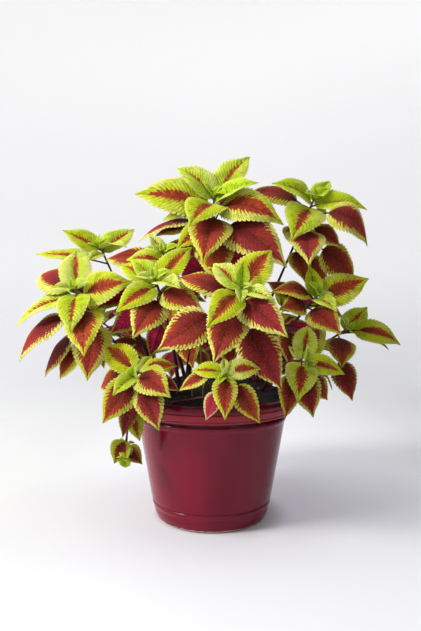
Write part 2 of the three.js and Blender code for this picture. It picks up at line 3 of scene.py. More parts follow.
import bmesh
import bpy
import numpy as np
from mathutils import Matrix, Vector, noise


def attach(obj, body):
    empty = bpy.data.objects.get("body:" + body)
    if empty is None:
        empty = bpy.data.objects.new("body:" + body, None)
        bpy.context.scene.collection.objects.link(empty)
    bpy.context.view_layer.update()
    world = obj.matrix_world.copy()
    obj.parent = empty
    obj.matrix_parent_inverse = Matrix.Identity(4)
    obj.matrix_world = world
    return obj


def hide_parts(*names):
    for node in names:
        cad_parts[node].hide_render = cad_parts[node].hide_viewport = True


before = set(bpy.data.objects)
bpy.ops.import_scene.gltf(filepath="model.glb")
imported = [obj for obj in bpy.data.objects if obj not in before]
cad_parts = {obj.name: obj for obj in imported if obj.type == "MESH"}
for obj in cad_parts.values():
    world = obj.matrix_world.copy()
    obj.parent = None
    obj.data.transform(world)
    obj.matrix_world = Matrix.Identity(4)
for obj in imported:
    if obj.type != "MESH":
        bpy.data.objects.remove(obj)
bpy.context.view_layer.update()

# A bushy coleus in a glazed pot. Growth is worked out in millimetres, as in the part's source,
# and every mesh is made in metres.
MM = 0.001

# ---------- pot and soil, in millimetres ----------
POT_SIDES = 160
RIM_TOP = 143.0
RIM_RADIUS = 98.3
FLOOR = 5.4
PIECE_GAP = 0.3
ROUNDING = 1.1
POT_WOBBLE = 0.25
CORNER_SHARE = 0.42
CORNER_POINTS = 5

# radius and height, from the middle of the underside up the outside, then down the inside
POT_OUTSIDE = [
    (0, 0), (63, 0), (65.2, 1.6), (67.8, 9), (68.6, 15.2), (70, 16.6), (70.2, 19.4),
    (69.2, 20.8), (70.8, 22.6), (87, 112.6), (88.4, 114.4), (88.9, 117), (87.8, 119.2),
    (87.2, 121.2), (88, 123), (95.2, 123.4), (96, 125.2), (95.4, 126.2), (96.6, 127.2),
    (98, 132.8), (96.8, 133.7), (98, 135), (RIM_RADIUS, 137.4), (97.9, 140.2), (96.6, 142.2),
    (94.8, RIM_TOP),
]
POT_INSIDE = [(93.2, 141), (92.8, 133.5), (83, 123.5), (62.5, 8), (58, FLOOR)]

SOIL_RADIUS = 92.0
SOIL_EDGE = 138.0
SOIL_TOP = 164.0
SOIL_RINGS = 34
SOIL_SIDES = 120

# heights of the bands where shade is painted dark into the glaze, over its grooves and its lip, half their
# breadth and how dark they are
PAINTED_SHADE_BANDS = ((120.8, 3.1, 0.85), (133.7, 0.9, 0.6), (140.0, 6.0, 0.45), (20.8, 1.6, 0.2))
# the heights between which the clear red of the rim band sets in, and ends again
BAND_START = (122.2, 123.8)
BAND_END = (135.5, 133.5)

# how far in from the edge of the soil its lumps fade out
LEVEL_EDGE = 6
# what lies on the soil: pieces per m2, size in mm, how flat, seed and finish
CRUMBS = {
    "soil_crumbs": (70000.0, 1.5, (1.0, 0.85, 0.7), 3, "crumb"),
    "bark_flakes": (9000.0, 3.2, (1.0, 0.55, 0.22), 5, "bark"),
    "perlite": (500.0, 1.2, (1.0, 0.9, 0.85), 8, "perlite"),
}
TONE_SEED = 7

# ---------- stems and leaves, in millimetres ----------
STEM_FOOT = 2.7
STEM_TIP = 1.0
STEM_SIDES = 8
ROOT_DEPTH = 12
PEG_ABOVE = 1.5
PEG_BELOW = 4
BUD = 4
BUD_RADIUS = 0.25
STEM_POINTS = 40
# how much a stem swells at each leaf joint, along what length, and the most where joints are close
JOINT_SWELL = 0.16
JOINT_LENGTH = 3.5
MOST_SWELL = 0.4

STALK_RADIUS = 0.95
SHORTEST_STALK = 3.4
BARE_STALK_FOOT = 1.2
BARE_STALK_TAPER = 0.5
BARE_STALK_DEPTH = 3
BARE_STALK_END = 0.12
BARE_STALK_POINTS = 14
STALK_POINTS = 6
# the midrib goes on to this share of the blade, sinks into it within this share, and ends this thin
MIDRIB_END = 0.88
MIDRIB_SINKS = 0.12
MIDRIB_RADIUS = 0.12
MIDRIB_POINTS = 14
HAIRS_PER_M2 = 60000.0
HAIR_LENGTH = 0.7
HAIR_RADIUS = 0.04

# what a leaf that has just opened has, and how much that changes until it is old
STALK_SHARE = (0.03, 0.2)
BREADTH = (0.45, 0.19)
ARCH = (0.08, 0.06)
FOLD_DEGREES = (22, -30)
OUTLINE_FOOT = (0.6, -0.06)
OUTLINE_TIP = (0.86, 0.2)
# the share of its stalk that stays bare, because the blade runs down the rest
STALK_LEFT = (0.55, 0.45)

# a blade's mesh: places across it from edge to edge, and rows from each tooth to the next
COLUMN_PLACES = np.array([-1, -0.93, -0.82, -0.65, -0.44, -0.22, 0, 0.22, 0.44, 0.65, 0.82, 0.93, 1])
ROWS_PER_TOOTH = 4
# teeth on each side: a number, and one more for each so many millimetres of blade
TEETH_BASE = 6.5
BLADE_PER_TOOTH = 7
FEWEST_TEETH = 8
MOST_TEETH = 16
BLADE_THICKNESS = 0.45
FULLER_BASE = 0.1
VEIN_SWEEP = 0.25
VEIN_BEND = 1.15
# the outer share of half the blade that the teeth take up, and where they fade out lengthwise
TOOTH_ZONE = 0.2
BASE_FADE = 0.1
TIP_FADE = 0.06
LAST_PLACE = 0.995
# how much narrower the blade is drawn just before its tip, where, and along what length
TIP_PINCH = 0.26
PINCH_PLACE = 0.9
PINCH_LENGTH = 0.1
# how far each row of a tooth stands out, as a share of half the blade, and leans on, in teeth
TOOTH_OUT = (0.06, -0.085, 0.0, 0.045)
TOOTH_AHEAD = (0.24, 0.0, 0.0, 0.08)
# heights in millimetres on a blade 60 long, and its bulge beside the midrib, in half breadths
QUILT = 0.55
GROOVE = 0.55
WAVE = 0.9
GROOVE_BREADTH = 0.09
WAVE_COUNT = (1.3, 2.2)
BULGE = 0.07
USUAL_BLADE = 60
# what each point of a blade carries, for its colours; dark is the shade painted on the leaf, and on the
# hanging shoot its withering
LEAF_LAYERS = ("lengthwise", "crosswise", "veins", "under", "age", "tone", "dark")
# marks of the points on the blade's upper edge, its lower edge and its two ends
EDGE_PLACE = 0.99
UPPER_RIM = 1.0
LOWER_RIM = 2.0
RIM_END = 3
# marks that tell stems and hairs apart
STEM_MARK = 1.0
HAIR_MARK = 2.0

# the young leaves in a shoot's tip: their size and how far they lean out, for each pair
BUD_PAIRS = ((25, 1.9), (15, 0.8))
BUD_AGE = 0.05
BUD_FORM = dict(stalk=0.05, broad=1.15, arch=0.14)

# ---------- how the shoots grow ----------
# the eye in front of the pot that the shoots are laid out for, and how far aside the camera stands
EYE_DEPTH = 650.0
EYE_HEIGHT = 245.0
EYE_ASIDE = -1.2
# the least distances between pieces, in millimetres
CLEAR = 2.2
OWN_CLEAR = 1.2
STEM_CLEAR = 4.7
OWN_STEM_CLEAR = 3.0
STALK_CLEAR = 4.5
STALK_TO_STEM = 7.0
NODE_AREA = 16.0
POT_CLEAR = 3.5
# how much smaller, turned (in degrees) or shifted (in millimetres) a leaf may be to keep them
SHRINKS = (1.0, 0.88, 0.75, 0.62)
TURNS = (0, 12, -12, 24, -24)
STEPS = (0, 7, -7, 14, -14, 21, -21, 28, -28)
# how finely stems and leaves are sampled, and how near leaves lie to be compared
LENGTH_STEPS = 61
LINE_SPACING = 5
STATIONS = 11
NEIGHBOURS = 0.62
END_SLACK = 0.03
SIDE_SLACK = 2

# The shoots of the front and the crown.
# root: where the stem leaves the soil, (x, y)
# knee: the point the stem bends towards, (x, y, z)
# apex: the top of the shoot, (across, up, depth) as an eye in front of the pot sees it
# A leaf is (below, across, up, depth, face, age, own):
#   below: how far under the top its stalk leaves the stem
#   across, up, depth: its tip
#   face: how far its upper side tips towards the front, in degrees
#   age: 0 for a leaf just open, 1 for an old one
#   own: where it differs, the share of stalk, a factor on its breadth, or its arch
SEEN_SHOOTS = {
    "crown": dict(root=(3, 8), knee=(4, 6, 270), apex=(3, 376, 0), leaves=[
        (4, -42, 411, 22, 50, 0.25, dict(arch=0.16)),
        (4, 46, 425, 28, 50, 0.35, dict(broad=0.85)),
        (8, 57, 394, -25, 42, 0.15, dict(broad=1.15)),
        (10, -92, 380, -10, 65, 0.5, dict(arch=0.08, broad=1.08)),
        (8, -27, 341, -60, 55, 0.5, dict(broad=1.15)),
        (14, 87, 343, -25, 58, 0.65, dict(stalk=0.14, arch=0.22, broad=1.15)),
        (22, -11, 297, -72, 74, 0.85, {}),
        (30, 91, 292, -60, 62, 0.85, dict(stalk=0.26, arch=0.18, broad=1.12)),
        (16, -59, 348, 15, 45, 0.4, {}),
        (50, 3, 273, -65, 70, 1, {}),
        (30, 43, 384, 40, 15, 1, dict(stalk=0.3)),
        (32, -88, 322, 5, 20, 0.85, dict(stalk=0.25, arch=0.15)),
        (36, -70, 328, -12, 34, 0.8, dict(stalk=0.3, broad=1.15)),
        (34, -43, 313, -40, 60, 0.6, dict(stalk=0.25)),
        (14, 30, 352, 70, -40, 0.65, {}),
        (22, -22, 312, 80, -50, 0.85, {}),
        (50, 40, 285, 78, -60, 1, {}),
        (70, -35, 262, 75, -65, 1, {}),
    ]),
    "upper_right": dict(root=(32, 22), knee=(80, 22, 270), apex=(122, 372, 20), leaves=[
        (4, 72, 393, 0, 50, 0.35, dict(broad=1.15, arch=0.13)),
        (2, 142, 396, 48, 50, 0.15, dict(broad=0.9, arch=0.05)),
        (8, 187, 361, 15, 42, 0.4, dict(arch=0.13, broad=1.15)),
        (8, 96, 325, -35, 65, 0.55, dict(broad=1.15)),
        (26, 187, 317, -15, 44, 0.85, dict(stalk=0.28, arch=0.42, broad=1.25)),
        (40, 117, 294, -55, 78, 0.85, {}),
        (14, 34, 375, 30, 40, 0.9, dict(stalk=0.2, arch=0.2, broad=1.05)),
        (32, 155, 316, 5, 52, 0.9, dict(stalk=0.3, broad=1.35)),
        (52, 172, 273, 10, 70, 1, dict(stalk=0.34, arch=0.24, broad=1.1)),
        (62, 113, 273, -15, 80, 1, dict(broad=0.9)),
        (62, 140, 270, 0, 75, 1, dict(stalk=0.35)),
        (14, 132, 340, 75, -35, 0.65, {}),
        (32, 98, 316, 85, -50, 0.85, dict(broad=1.15)),
    ]),
    "centre_front": dict(root=(14, -42), knee=(16, -70, 225), apex=(34, 266, -110), leaves=[
        (3, 2, 297, -75, 55, 0.25, {}),
        (4, 72, 313, -85, 62, 0.55, dict(broad=1.15)),
        (3, 76, 253, -130, 45, 0.2, {}),
        (5, -6, 219, -145, 68, 0.55, {}),
        (14, 92, 208, -140, 72, 0.75, {}),
        (22, -65, 193, -105, 72, 0.85, dict(stalk=0.36, broad=1.1)),
        (24, 2, 177, -150, 80, 0.85, {}),
        (34, 84, 145, -110, 72, 1, dict(stalk=0.27, broad=0.95)),
        (16, -43, 279, -75, 40, 0.85, {}),
        (18, -26, 315, -60, 60, 0.5, dict(stalk=0.3)),
        (55, 20, 168, -95, 72, 0.9, dict(stalk=0.42)),
    ]),
    "centre_left": dict(root=(-38, -30), knee=(-44, -42, 220), apex=(-67, 276, -60), leaves=[
        (3, -94, 301, -35, 50, 0.2, {}),
        (5, -23, 317, -45, 60, 0.5, {}),
        (2, -37, 267, -90, 45, 0.15, {}),
        (8, -110, 295, -35, 45, 0.5, {}),
        (6, -115, 238, -85, 62, 0.5, {}),
        (12, -9, 239, -90, 68, 0.75, {}),
        (20, -95, 207, -105, 80, 0.8, dict(broad=1.15)),
        (26, -123, 211, -45, -55, 0.8, {}),
        (40, -74, 184, -40, -55, 0.8, dict(stalk=0.3)),
        (30, -118, 237, -20, 60, 0.9, dict(stalk=0.3, broad=0.8)),
    ]),
    "far_left": dict(root=(-62, -16), knee=(-118, -24, 205), apex=(-163, 264, -35), leaves=[
        (3, -161, 313, 15, 62, 0.4, dict(broad=0.95)),
        (3, -169, 213, -85, 60, 0.45, {}),
        (8, -235, 221, -30, 27, 0.45, dict(stalk=0.12, broad=1.05)),
        (8, -94, 275, -45, 65, 0.6, dict(stalk=0.12, broad=1.2)),
        (7, -205, 283, 25, 50, 0.75, {}),
        (30, -231, 178, -40, 28, 0.9, dict(stalk=0.28, arch=0.19)),
        (24, -153, 185, -95, 78, 0.85, {}),
        (42, -149, 156, -62, 74, 0.8, dict(stalk=0.1, broad=1.12)),
        (45, -200, 160, -25, 24, 1, dict(stalk=0.38, broad=1.2)),
        (52, -182, 158, -50, 36, 0.9, dict(stalk=0.52, broad=1.35)),
        (44, -129, 171, -45, 72, 0.95, dict(stalk=0.2)),
        (14, -150, 262, 55, -30, 0.75, {}),
        (30, -160, 215, 60, -50, 0.9, {}),
    ]),
    "upper_left": dict(root=(-64, 12), knee=(-98, 16, 235), apex=(-133, 316, 20), leaves=[
        (4, -179, 337, 20, 52, 0.45, dict(arch=0.04, broad=1.05)),
        (4, -92, 338, 50, 55, 0.4, dict(arch=0.03, broad=1.1)),
        (2, -101, 316, -10, 15, 0.1, {}),
        (22, -211, 308, 25, 28, 0.5, dict(stalk=0.3, arch=0.04)),
        (8, -149, 299, -5, 60, 0.3, {}),
        (132, -121, 202, 8, 36, 1, {}),
        (10, -140, 322, 75, -25, 0.5, {}),
    ]),
    "small_bright": dict(root=(-26, -2), knee=(-34, -6, 240), apex=(-57, 308, -25), leaves=[
        (3, -76, 333, -5, 50, 0.1, {}),
        (3, -41, 321, -40, 50, 0.1, {}),
        (10, -103, 301, -20, 50, 0.45, dict(broad=1.1)),
        (22, -128, 300, 12, 42, 0.9, dict(arch=0.16)),
        (95, -22, 171, -60, 78, 0.95, {}),
    ]),
    "right": dict(root=(52, -6), knee=(84, -10, 215), apex=(126, 257, -20), leaves=[
        (3, 117, 295, 12, 62, 0.3, {}),
        (8, 189, 279, -10, 66, 0.6, dict(stalk=0.16, broad=1.06, arch=0.06)),
        (3, 151, 239, -55, 50, 0.25, {}),
        (5, 70, 262, -35, 45, 0.9, dict(arch=0.22)),
        (14, 82, 243, -45, 66, 1, dict(broad=1.25)),
        (18, 156, 211, -60, 72, 0.85, dict(broad=1.12)),
        (14, 158, 232, -10, 60, 0.7, {}),
        (50, 92, 174, -55, 75, 0.95, {}),
        (20, 66, 275, 5, 45, 1, dict(stalk=0.3)),
        (34, 86, 224, 10, 60, 1, dict(stalk=0.3, broad=0.9)),
    ]),
    "far_right": dict(root=(66, 18), knee=(120, 14, 190), apex=(160, 217, 0), leaves=[
        (3, 187, 245, 25, 52, 0.35, dict(arch=0.03)),
        (6, 227, 199, -5, 52, 0.55, dict(stalk=0.24, arch=0.21, broad=1.06)),
        (12, 156, 171, -50, 68, 1, dict(broad=1.1)),
        (26, 169, 132, -20, 80, 1, dict(stalk=0.4, broad=1)),
        (10, 213, 193, 20, 5, 0.9, dict(stalk=0.35)),
    ]),
    "lower_right": dict(root=(56, -38), knee=(78, -54, 192), apex=(110, 179, -70), leaves=[
        (3, 116, 223, -40, 62, 0.35, {}),
        (6, 160, 164, -75, 56, 0.5, dict(stalk=0.14)),
        (3, 103, 131, -110, 66, 0.5, dict(broad=1.12)),
        (3, 92, 198, -60, 50, 0.3, {}),
        (10, 130, 220, -20, 60, 0.6, {}),
        (12, 122, 112, -90, 80, 0.8, dict(stalk=0.28, broad=1.15)),
        (12, 139, 133, -60, 80, 1, dict(stalk=0.4, broad=1.15)),
        (16, 88, 111, -95, 82, 0.9, dict(stalk=0.34, broad=0.9)),
    ]),
    "lower_left": dict(root=(-44, -48), knee=(-62, -66, 196), apex=(-91, 163, -85), leaves=[
        (3, -128, 199, -50, 62, 0.55, {}),
        (2, -71, 186, -65, 50, 0.15, {}),
        (2, -119, 138, -110, 50, 0.2, {}),
        (5, -49, 136, -120, 66, 0.65, dict(broad=1.15)),
        (6, -41, 174, -75, 50, 0.7, {}),
        (8, -131, 105, -105, 72, 0.75, dict(stalk=0.26, broad=1.15)),
        (8, -63, 96, -115, 82, 0.75, dict(stalk=0.35, broad=1.1)),
        (8, -133, 147, -50, 60, 0.9, dict(stalk=0.3, broad=1.2)),
        (10, -39, 144, -95, 60, 0.9, dict(stalk=0.55)),
    ]),
    "lower_front": dict(root=(8, -64), knee=(10, -96, 200), apex=(16, 164, -125), leaves=[
        (3, -25, 168, -115, 56, 0.4, {}),
        (3, 59, 171, -118, 60, 0.45, dict(broad=1.15)),
        (0, 15, 183, -108, 60, 0, {}),
        (0, 8, 152, -142, 50, 0, {}),
        (8, -39, 144, -120, 42, 0.65, dict(stalk=0.36)),
        (6, 16, 109, -150, 76, 0.7, dict(stalk=0.2, broad=0.95)),
        (12, -7, 109, -122, 85, 0.8, dict(stalk=0.5)),
        (10, 58, 105, -135, 76, 0.85, dict(stalk=0.36, broad=0.95)),
    ]),
    "hanging": dict(root=(-58, -34), knee=(-84, -74, 196), apex=(-103, 75, -64), leaves=[
        (46, -107, 88, -85, 78, 0.9, dict(stalk=0.2, broad=0.85)),
        (6, -117, 57, -78, 80, 0.6, dict(broad=1.6)),
        (3, -83, 56, -75, 75, 0.8, dict(broad=1.2)),
        (30, -86, 84, -42, 60, 0.5, {}),
        (0, -102, 59, -88, 75, 0.3, {}),
        (4, -92, 82, -50, 60, 0.4, {}),
        (3, -110, 88, -60, 60, 0.1, {}),
    ]),
}

BACK_SHOOTS = {
    "back_left": dict(root=(-34, 34), knee=(-52, 56, 225), apex=(-92, 88, 272), pairs=4, heading=30),
    "back_middle": dict(root=(2, 46), knee=(0, 66, 260), apex=(8, 98, 322), pairs=5, heading=10),
    "back_right": dict(root=(36, 50), knee=(60, 66, 205), apex=(98, 96, 246), pairs=5, heading=70),
    "back_low_left": dict(root=(-26, 68), knee=(-32, 96, 195), apex=(-46, 136, 190), pairs=4, heading=25),
    "back_low_right": dict(root=(22, 74), knee=(34, 102, 198), apex=(52, 140, 190), pairs=4, heading=65),
    "left_behind": dict(root=(-66, 42), knee=(-104, 56, 200), apex=(-150, 80, 226), pairs=4, heading=60),
    "right_behind": dict(root=(62, 42), knee=(98, 64, 182), apex=(136, 90, 196), pairs=4, heading=35),
}

# one entry per pair of leaves, from the top of the shoot down
PAIR_BELOW = (3, 8, 18, 34, 54)
PAIR_REACH = (40, 62, 78, 86, 84)
PAIR_RISE = (48, 20, -8, -30, -48)
PAIR_AGE = (0.2, 0.45, 0.7, 0.85, 1.0)
PAIR_FACE = 40
# how far a leaf's heading and rise, in degrees, and its size, as a share, differ from the rule
HEADING_SPREAD = 9
RISE_SPREAD = 6
SIZE_SPREAD = 0.08
RANDOM_START = 20817
FIRST_SEED = 100

# The tone of a leaf is drawn at random between 0, which is browner, and 1, which is more purple.
# These leaves, given by their shoot and row, have one of their own; above 1 is pink and cream.
OWN_TONES = {
    ("crown", 6): 0.6,
    ("crown", 7): 0.95,
    ("crown", 11): 1.0,
    ("crown", 13): 0.0,
    ("upper_right", 4): 0.85,
    ("far_left", 4): 0.95,
    ("far_left", 5): 1.0,
    ("far_left", 8): 0.9,
    ("centre_left", 6): 0.6,
    ("centre_front", 5): 0.8,
    ("centre_front", 6): 0.8,
    ("lower_front", 6): 1.3,
}

# how much younger than it is each leaf of a shoot looks: more green and less red
YOUNGER = {
    "upper_right": 0.1,
    "far_left": 0.07,
    "upper_left": 0.05,
    "crown": 0.03,
    "centre_front": -0.03,
    "lower_left": -0.05,
    "lower_front": -0.05,
}

# how much darker than the rest the leaves of a shoot are painted: painted shade on the shoots of the plant's
# shaded right side, and the dull colour of withering on the hanging shoot
PAINTED_SHADE_AND_WITHERING = {"right": 0.24, "far_right": 0.36, "lower_right": 0.26, "upper_right": 0.15, "hanging": 0.5}
DARKEST = 0.8
# the age from which a leaf counts as old
OLD_AGE = 0.6
# old leaves under this height, in millimetres, are painted darker still, as painted shade from the leaves
# above, by this much for each step down
LOW_LEAVES = 205
PAINTED_SHADE_PER_STEP = 0.25
DARKER_STEP = 60

# Bare old stalks in the gap at the front, by the shoot they belong to. Each has the place where it
# leaves the soil, (x, y), the point it bends towards, (x, y, z), and the row of the leaf it ends under.
BARE_STALKS = {
    "lower_left": [((-38, -56), (-36, -60, 172), 4), ((-30, -62), (-34, -64, 170), 8)],
    "lower_front": [
        ((-20, -68), (-24, -72, 172), 4),
        ((-9, -70), (-10, -76, 176), 0),
        ((2, -76), (-6, -80, 168), 4),
        ((-48, -66), (-16, -100, 154), 7),
    ],
    "centre_front": [((-28, -46), (-30, -50, 190), 5), ((-8, -52), (-12, -56, 184), 5)],
}


# ---------- settings of the stage, the light and the camera ----------
# the sweep, in millimetres: how far it is flat, how it turns up, its top, and how far under the pot
STAGE_FLAT = 1300.0
STAGE_TURN = 700.0
STAGE_TOP = 2650.0
STAGE_DROP = 0.05
STAGE_ROWS = 12
STAGE_SIDES = 96

# the flag and the lamps, in metres
FLAG_ASIDE = 0.75
FLAG_DEPTHS = (-0.8, 0.9)
FLAG_HEIGHT = 0.42
LIT_PLACE = (0, 0, 0.2)
# place, size, watts and colour
SOFTBOXES = {
    "window": ((-1.4, -0.62, 1.2), 0.5, 36.0, (1.0, 0.99, 0.96)),
    "overhead": ((-0.2, 0.1, 1.7), 1.2, 9.0, (1.0, 1.0, 1.0)),
}
STUDIO_COLOUR = (1.0, 0.98, 0.98, 1.0)
STUDIO_STRENGTH = 0.3

# the camera, with its lens and its sensor in millimetres
LENS = 30.92
SENSOR_WIDTH = 36.0
SHIFT_UP = -0.0135
NEAREST_SEEN = 0.02


# ---------- colours ----------
def paint(red, green, blue):
    """A display colour, 0 to 255, as the linear colour that sockets take."""
    return tuple(((c / 255 + 0.055) / 1.055) ** 2.4 for c in (red, green, blue)) + (1.0,)


YOUNG_LIME = paint(166, 210, 2)
OLD_LIME = paint(212, 198, 8)
PALE_LIME_AND_HIGHLIGHT = paint(226, 226, 136)
DEEP_LIME = paint(124, 146, 0)
VEIN_GREEN = paint(92, 116, 0)
LIME_GRAIN = paint(216, 226, 90)
FRINGE_YELLOW = paint(224, 214, 70)
RIM_YELLOW = paint(236, 228, 120)
NOTCH_OLIVE = paint(116, 112, 6)
SHADED_LIME = paint(74, 84, 0)
CREAM = paint(232, 208, 156)
LEAF_PORES = paint(50, 40, 0)

BRICK = paint(188, 82, 44)
DEEP_BRICK = paint(156, 48, 26)
BROWN = paint(184, 96, 36)
CRIMSON = paint(140, 24, 50)
LIT_BRICK = paint(204, 88, 74)
NEAR_BLACK = paint(62, 8, 10)
VEIN_RED = paint(60, 6, 12)
BRICK_GRAIN = paint(206, 112, 84)
PAINTED_SHEEN = paint(200, 92, 88)
PINK = paint(196, 62, 76)

UNDER_FLESH = paint(196, 36, 78)
UNDER_DEEP_FLESH = paint(140, 20, 56)
UNDER_VEIN = paint(216, 100, 116)
UNDER_YOUNG_LIME = paint(222, 238, 74)
UNDER_OLD_LIME = paint(166, 184, 56)
UNDER_SHADE = paint(66, 14, 26)

YOUNG_STEM = (paint(142, 160, 44), paint(96, 112, 26))
OLD_STEM = (paint(62, 16, 24), paint(30, 8, 14))
STEM_BLUSH = paint(88, 30, 34)
HAIRS = (paint(176, 150, 120), paint(130, 84, 84))

GLAZE = (paint(124, 13, 42), paint(104, 9, 33))
GLAZE_RUNS = paint(84, 2, 24)
GLAZE_IN_PAINTED_SHADE = paint(36, 0, 8)
GLAZE_SPECKS = paint(40, 4, 10)
RIM_RED = paint(158, 10, 26)
GLAZE_SCUFFS = paint(216, 176, 180)
BARE_CLAY = paint(96, 58, 46)

# the potting mix's own dark colours, painted darker still to stand for the shade of the leaves over the pot
SOIL_AND_SHADE = (paint(8, 5, 5), paint(32, 22, 18))
DAMP_SOIL = paint(15, 11, 9)
SOIL_CRUMBS_AND_SHADE = (paint(12, 8, 7), paint(42, 29, 23))
BARK = (paint(26, 16, 11), paint(80, 54, 36))
PERLITE = (paint(190, 184, 172), paint(228, 224, 214))

SWEEP_PAPER = paint(211, 212, 212)
FLAG_CLOTH = paint(40, 34, 38)
# the sweep's own light, as linear colours
DARK_FLOOR_GLOW = (0.0, 0.0, 0.0, 1.0)
FLOOR_GLOW = (0.38, 0.375, 0.48, 1.0)
LOW_WALL_GLOW = (0.61, 0.595, 0.63, 1.0)
HIGH_WALL_GLOW = (1.1, 1.08, 1.1, 1.0)
RIGHT_WALL_GLOW = (0.5, 0.5, 0.53, 1.0)


# ---------- growth ----------
class Spread:
    """The same seeded draw as in the part's source."""

    def __init__(self, start):
        self.state = start

    def __call__(self, size):
        self.state = (self.state * 1664525 + 1013904223) % 4294967296
        return (self.state / 4294967296 - 0.5) * 2 * size


def unit(v):
    return v / np.linalg.norm(v)


def seen(across, up, depth):
    """The place that the eye in front of the pot sees at (across, up), so far behind the pot's middle."""
    k = 1 + depth / EYE_DEPTH
    return np.array([across * k, depth, EYE_HEIGHT + (up - EYE_HEIGHT) * k])


def aged(rule, age):
    """What a rule of (when just open, change until old) gives at this age."""
    young, change = rule
    return young + change * age


def soil_height(radius):
    share = np.minimum(radius, SOIL_RADIUS) / SOIL_RADIUS
    return SOIL_EDGE + (SOIL_TOP - SOIL_EDGE) * (1 - share**2)


def bent_line(start, knee, end, t):
    return (1 - t) ** 2 * start + 2 * t * (1 - t) * knee + t * t * end


class Stem:
    """A stem that bends from its root towards its knee and on to its apex."""

    def __init__(self, name, root, knee, apex):
        self.name = name
        self.root = np.array([*root, soil_height(math.hypot(*root))], float)
        self.knee = np.array(knee, float)
        self.apex = np.array(apex, float)
        chords = np.diff(self.point(np.linspace(0, 1, LENGTH_STEPS)), axis=0)
        self.length = float(np.linalg.norm(chords, axis=1).sum())
        self.line = self.point(np.linspace(0, 1, max(4, int(self.length / LINE_SPACING))))

    def point(self, t):
        return bent_line(self.root, self.knee, self.apex, np.asarray(t, float)[..., None])

    def node(self, below):
        return self.point(1 - below / self.length)

    def rise(self):
        """The way the stem's tip points."""
        return unit(self.point(1.0) - self.point(0.97))


class Leaf:
    """An arched and folded sheet on a stalk."""

    def __init__(self, stem, node, tip, look, age, stalk=None, broad=1.0, arch=None):
        self.stem, self.node, self.tip, self.age = stem, node, tip, age
        self.reach = np.linalg.norm(tip - node)
        self.along = (tip - node) / self.reach
        self.up = unit(look - look.dot(self.along) * self.along)
        self.side = np.cross(self.along, self.up)
        own_stalk = aged(STALK_SHARE, age**1.5) if stalk is None else stalk
        self.stalk = max(own_stalk, SHORTEST_STALK / self.reach)
        self.blade = self.reach * (1 - self.stalk)
        self.half = self.blade * aged(BREADTH, math.sqrt(age)) / 2 * broad
        self.arch = aged(ARCH, age) if arch is None else arch
        self.fold = math.tan(math.radians(aged(FOLD_DEGREES, age)))
        self.middle = (node + tip) / 2

    def midrib(self, t):
        t = np.asarray(t, float)[..., None]
        return self.node + t * self.reach * self.along + 4 * self.arch * self.reach * t * (1 - t) * self.up

    def outline(self, s, full=0.0):
        """Half the breadth along the blade, as a share of the most; full makes the base rounder."""
        a = aged(OUTLINE_FOOT, self.age) - full
        b = aged(OUTLINE_TIP, self.age)
        widest = a / (a + b)
        s = np.clip(s, 0, 1)
        return s**a * (1 - s) ** b / (widest**a * (1 - widest) ** b)

    def surface(self, s, q, full=0.0):
        """The point at s along the blade and q across it, from -1 at one edge to 1 at the other."""
        width = self.half * self.outline(s, full)
        across = (q * width)[..., None] * self.side
        lift = (np.abs(q) * width * self.fold)[..., None] * self.up
        return self.midrib(self.stalk + (1 - self.stalk) * s) + across + lift

    def sample(self):
        """Points that stand for the leaf when its distance from others is judged."""
        stations = np.linspace(0, 1, STATIONS)
        inner = stations[1:-1]
        rows = [self.surface(stations, np.zeros(STATIONS))]
        rows += [self.surface(inner, np.full(STATIONS - 2, q)) for q in (1, -1, 0.5, -0.5)]
        self.stalk_points = self.midrib(np.linspace(0, self.stalk, 6)[1:])
        self.points = np.vstack([*rows, self.stalk_points])

    def heights(self, points):
        """Heights over the sheet of those points that lie over or under it."""
        arm = points - self.node
        t = arm @ self.along / self.reach
        q = np.abs(arm @ self.side)
        s = (t - self.stalk) / (1 - self.stalk)
        width = self.half * self.outline(np.clip(s, 0.02, 0.98)) + SIDE_SLACK
        inside = (s > -END_SLACK) & (s < 1 + END_SLACK) & (q < width)
        lift = 4 * self.arch * self.reach * t * (1 - t) + q * self.fold
        return (arm @ self.up - lift)[inside]


def pot_touches(points):
    r = np.hypot(points[:, 0], points[:, 1])
    z = points[:, 2]
    touch = RIM_RADIUS + POT_CLEAR
    inner = SOIL_RADIUS - SIDE_SLACK
    on_rim = (r < touch) & (r > inner) & (z < RIM_TOP + POT_CLEAR)
    on_soil = (r <= inner) & (z < soil_height(r) + POT_CLEAR)
    on_wall = (r < touch) & (z < SOIL_EDGE)
    return int((on_rim | on_soil | on_wall).sum())


def crossings(points, leaf, gap):
    """Counts points too near a leaf's sheet, and points on the lesser side of it."""
    heights = leaf.heights(points)
    return int((np.abs(heights) < gap).sum() + min((heights > 0).sum(), (heights < 0).sum()))


def nearest(some, others):
    return np.linalg.norm(some[:, None] - others[None], axis=2).min()


def beyond(points, *nodes):
    """Those points that don't lie close to a joint, where leaf and stem meet anyway."""
    for node in nodes:
        points = points[np.linalg.norm(points - node, axis=1) > NODE_AREA]
    return points


def clashes(leaf, placed, stems):
    total = pot_touches(leaf.points)
    for other in placed:
        if np.linalg.norm(leaf.middle - other.middle) > (leaf.reach + other.reach) * NEIGHBOURS:
            continue
        if other.stem is leaf.stem:
            total += crossings(beyond(leaf.points, leaf.node, other.node), other, OWN_CLEAR)
            total += crossings(beyond(other.points, leaf.node, other.node), leaf, OWN_CLEAR)
        else:
            total += crossings(leaf.points, other, CLEAR)
            total += crossings(other.points, leaf, CLEAR)
            total += int(nearest(leaf.stalk_points, other.stalk_points) < STALK_CLEAR)
    for stem in stems:
        if stem is leaf.stem:
            total += crossings(beyond(stem.line, leaf.node), leaf, OWN_STEM_CLEAR)
        else:
            total += crossings(stem.line, leaf, STEM_CLEAR)
            total += int(nearest(leaf.stalk_points, stem.line) < STALK_TO_STEM)
    return total


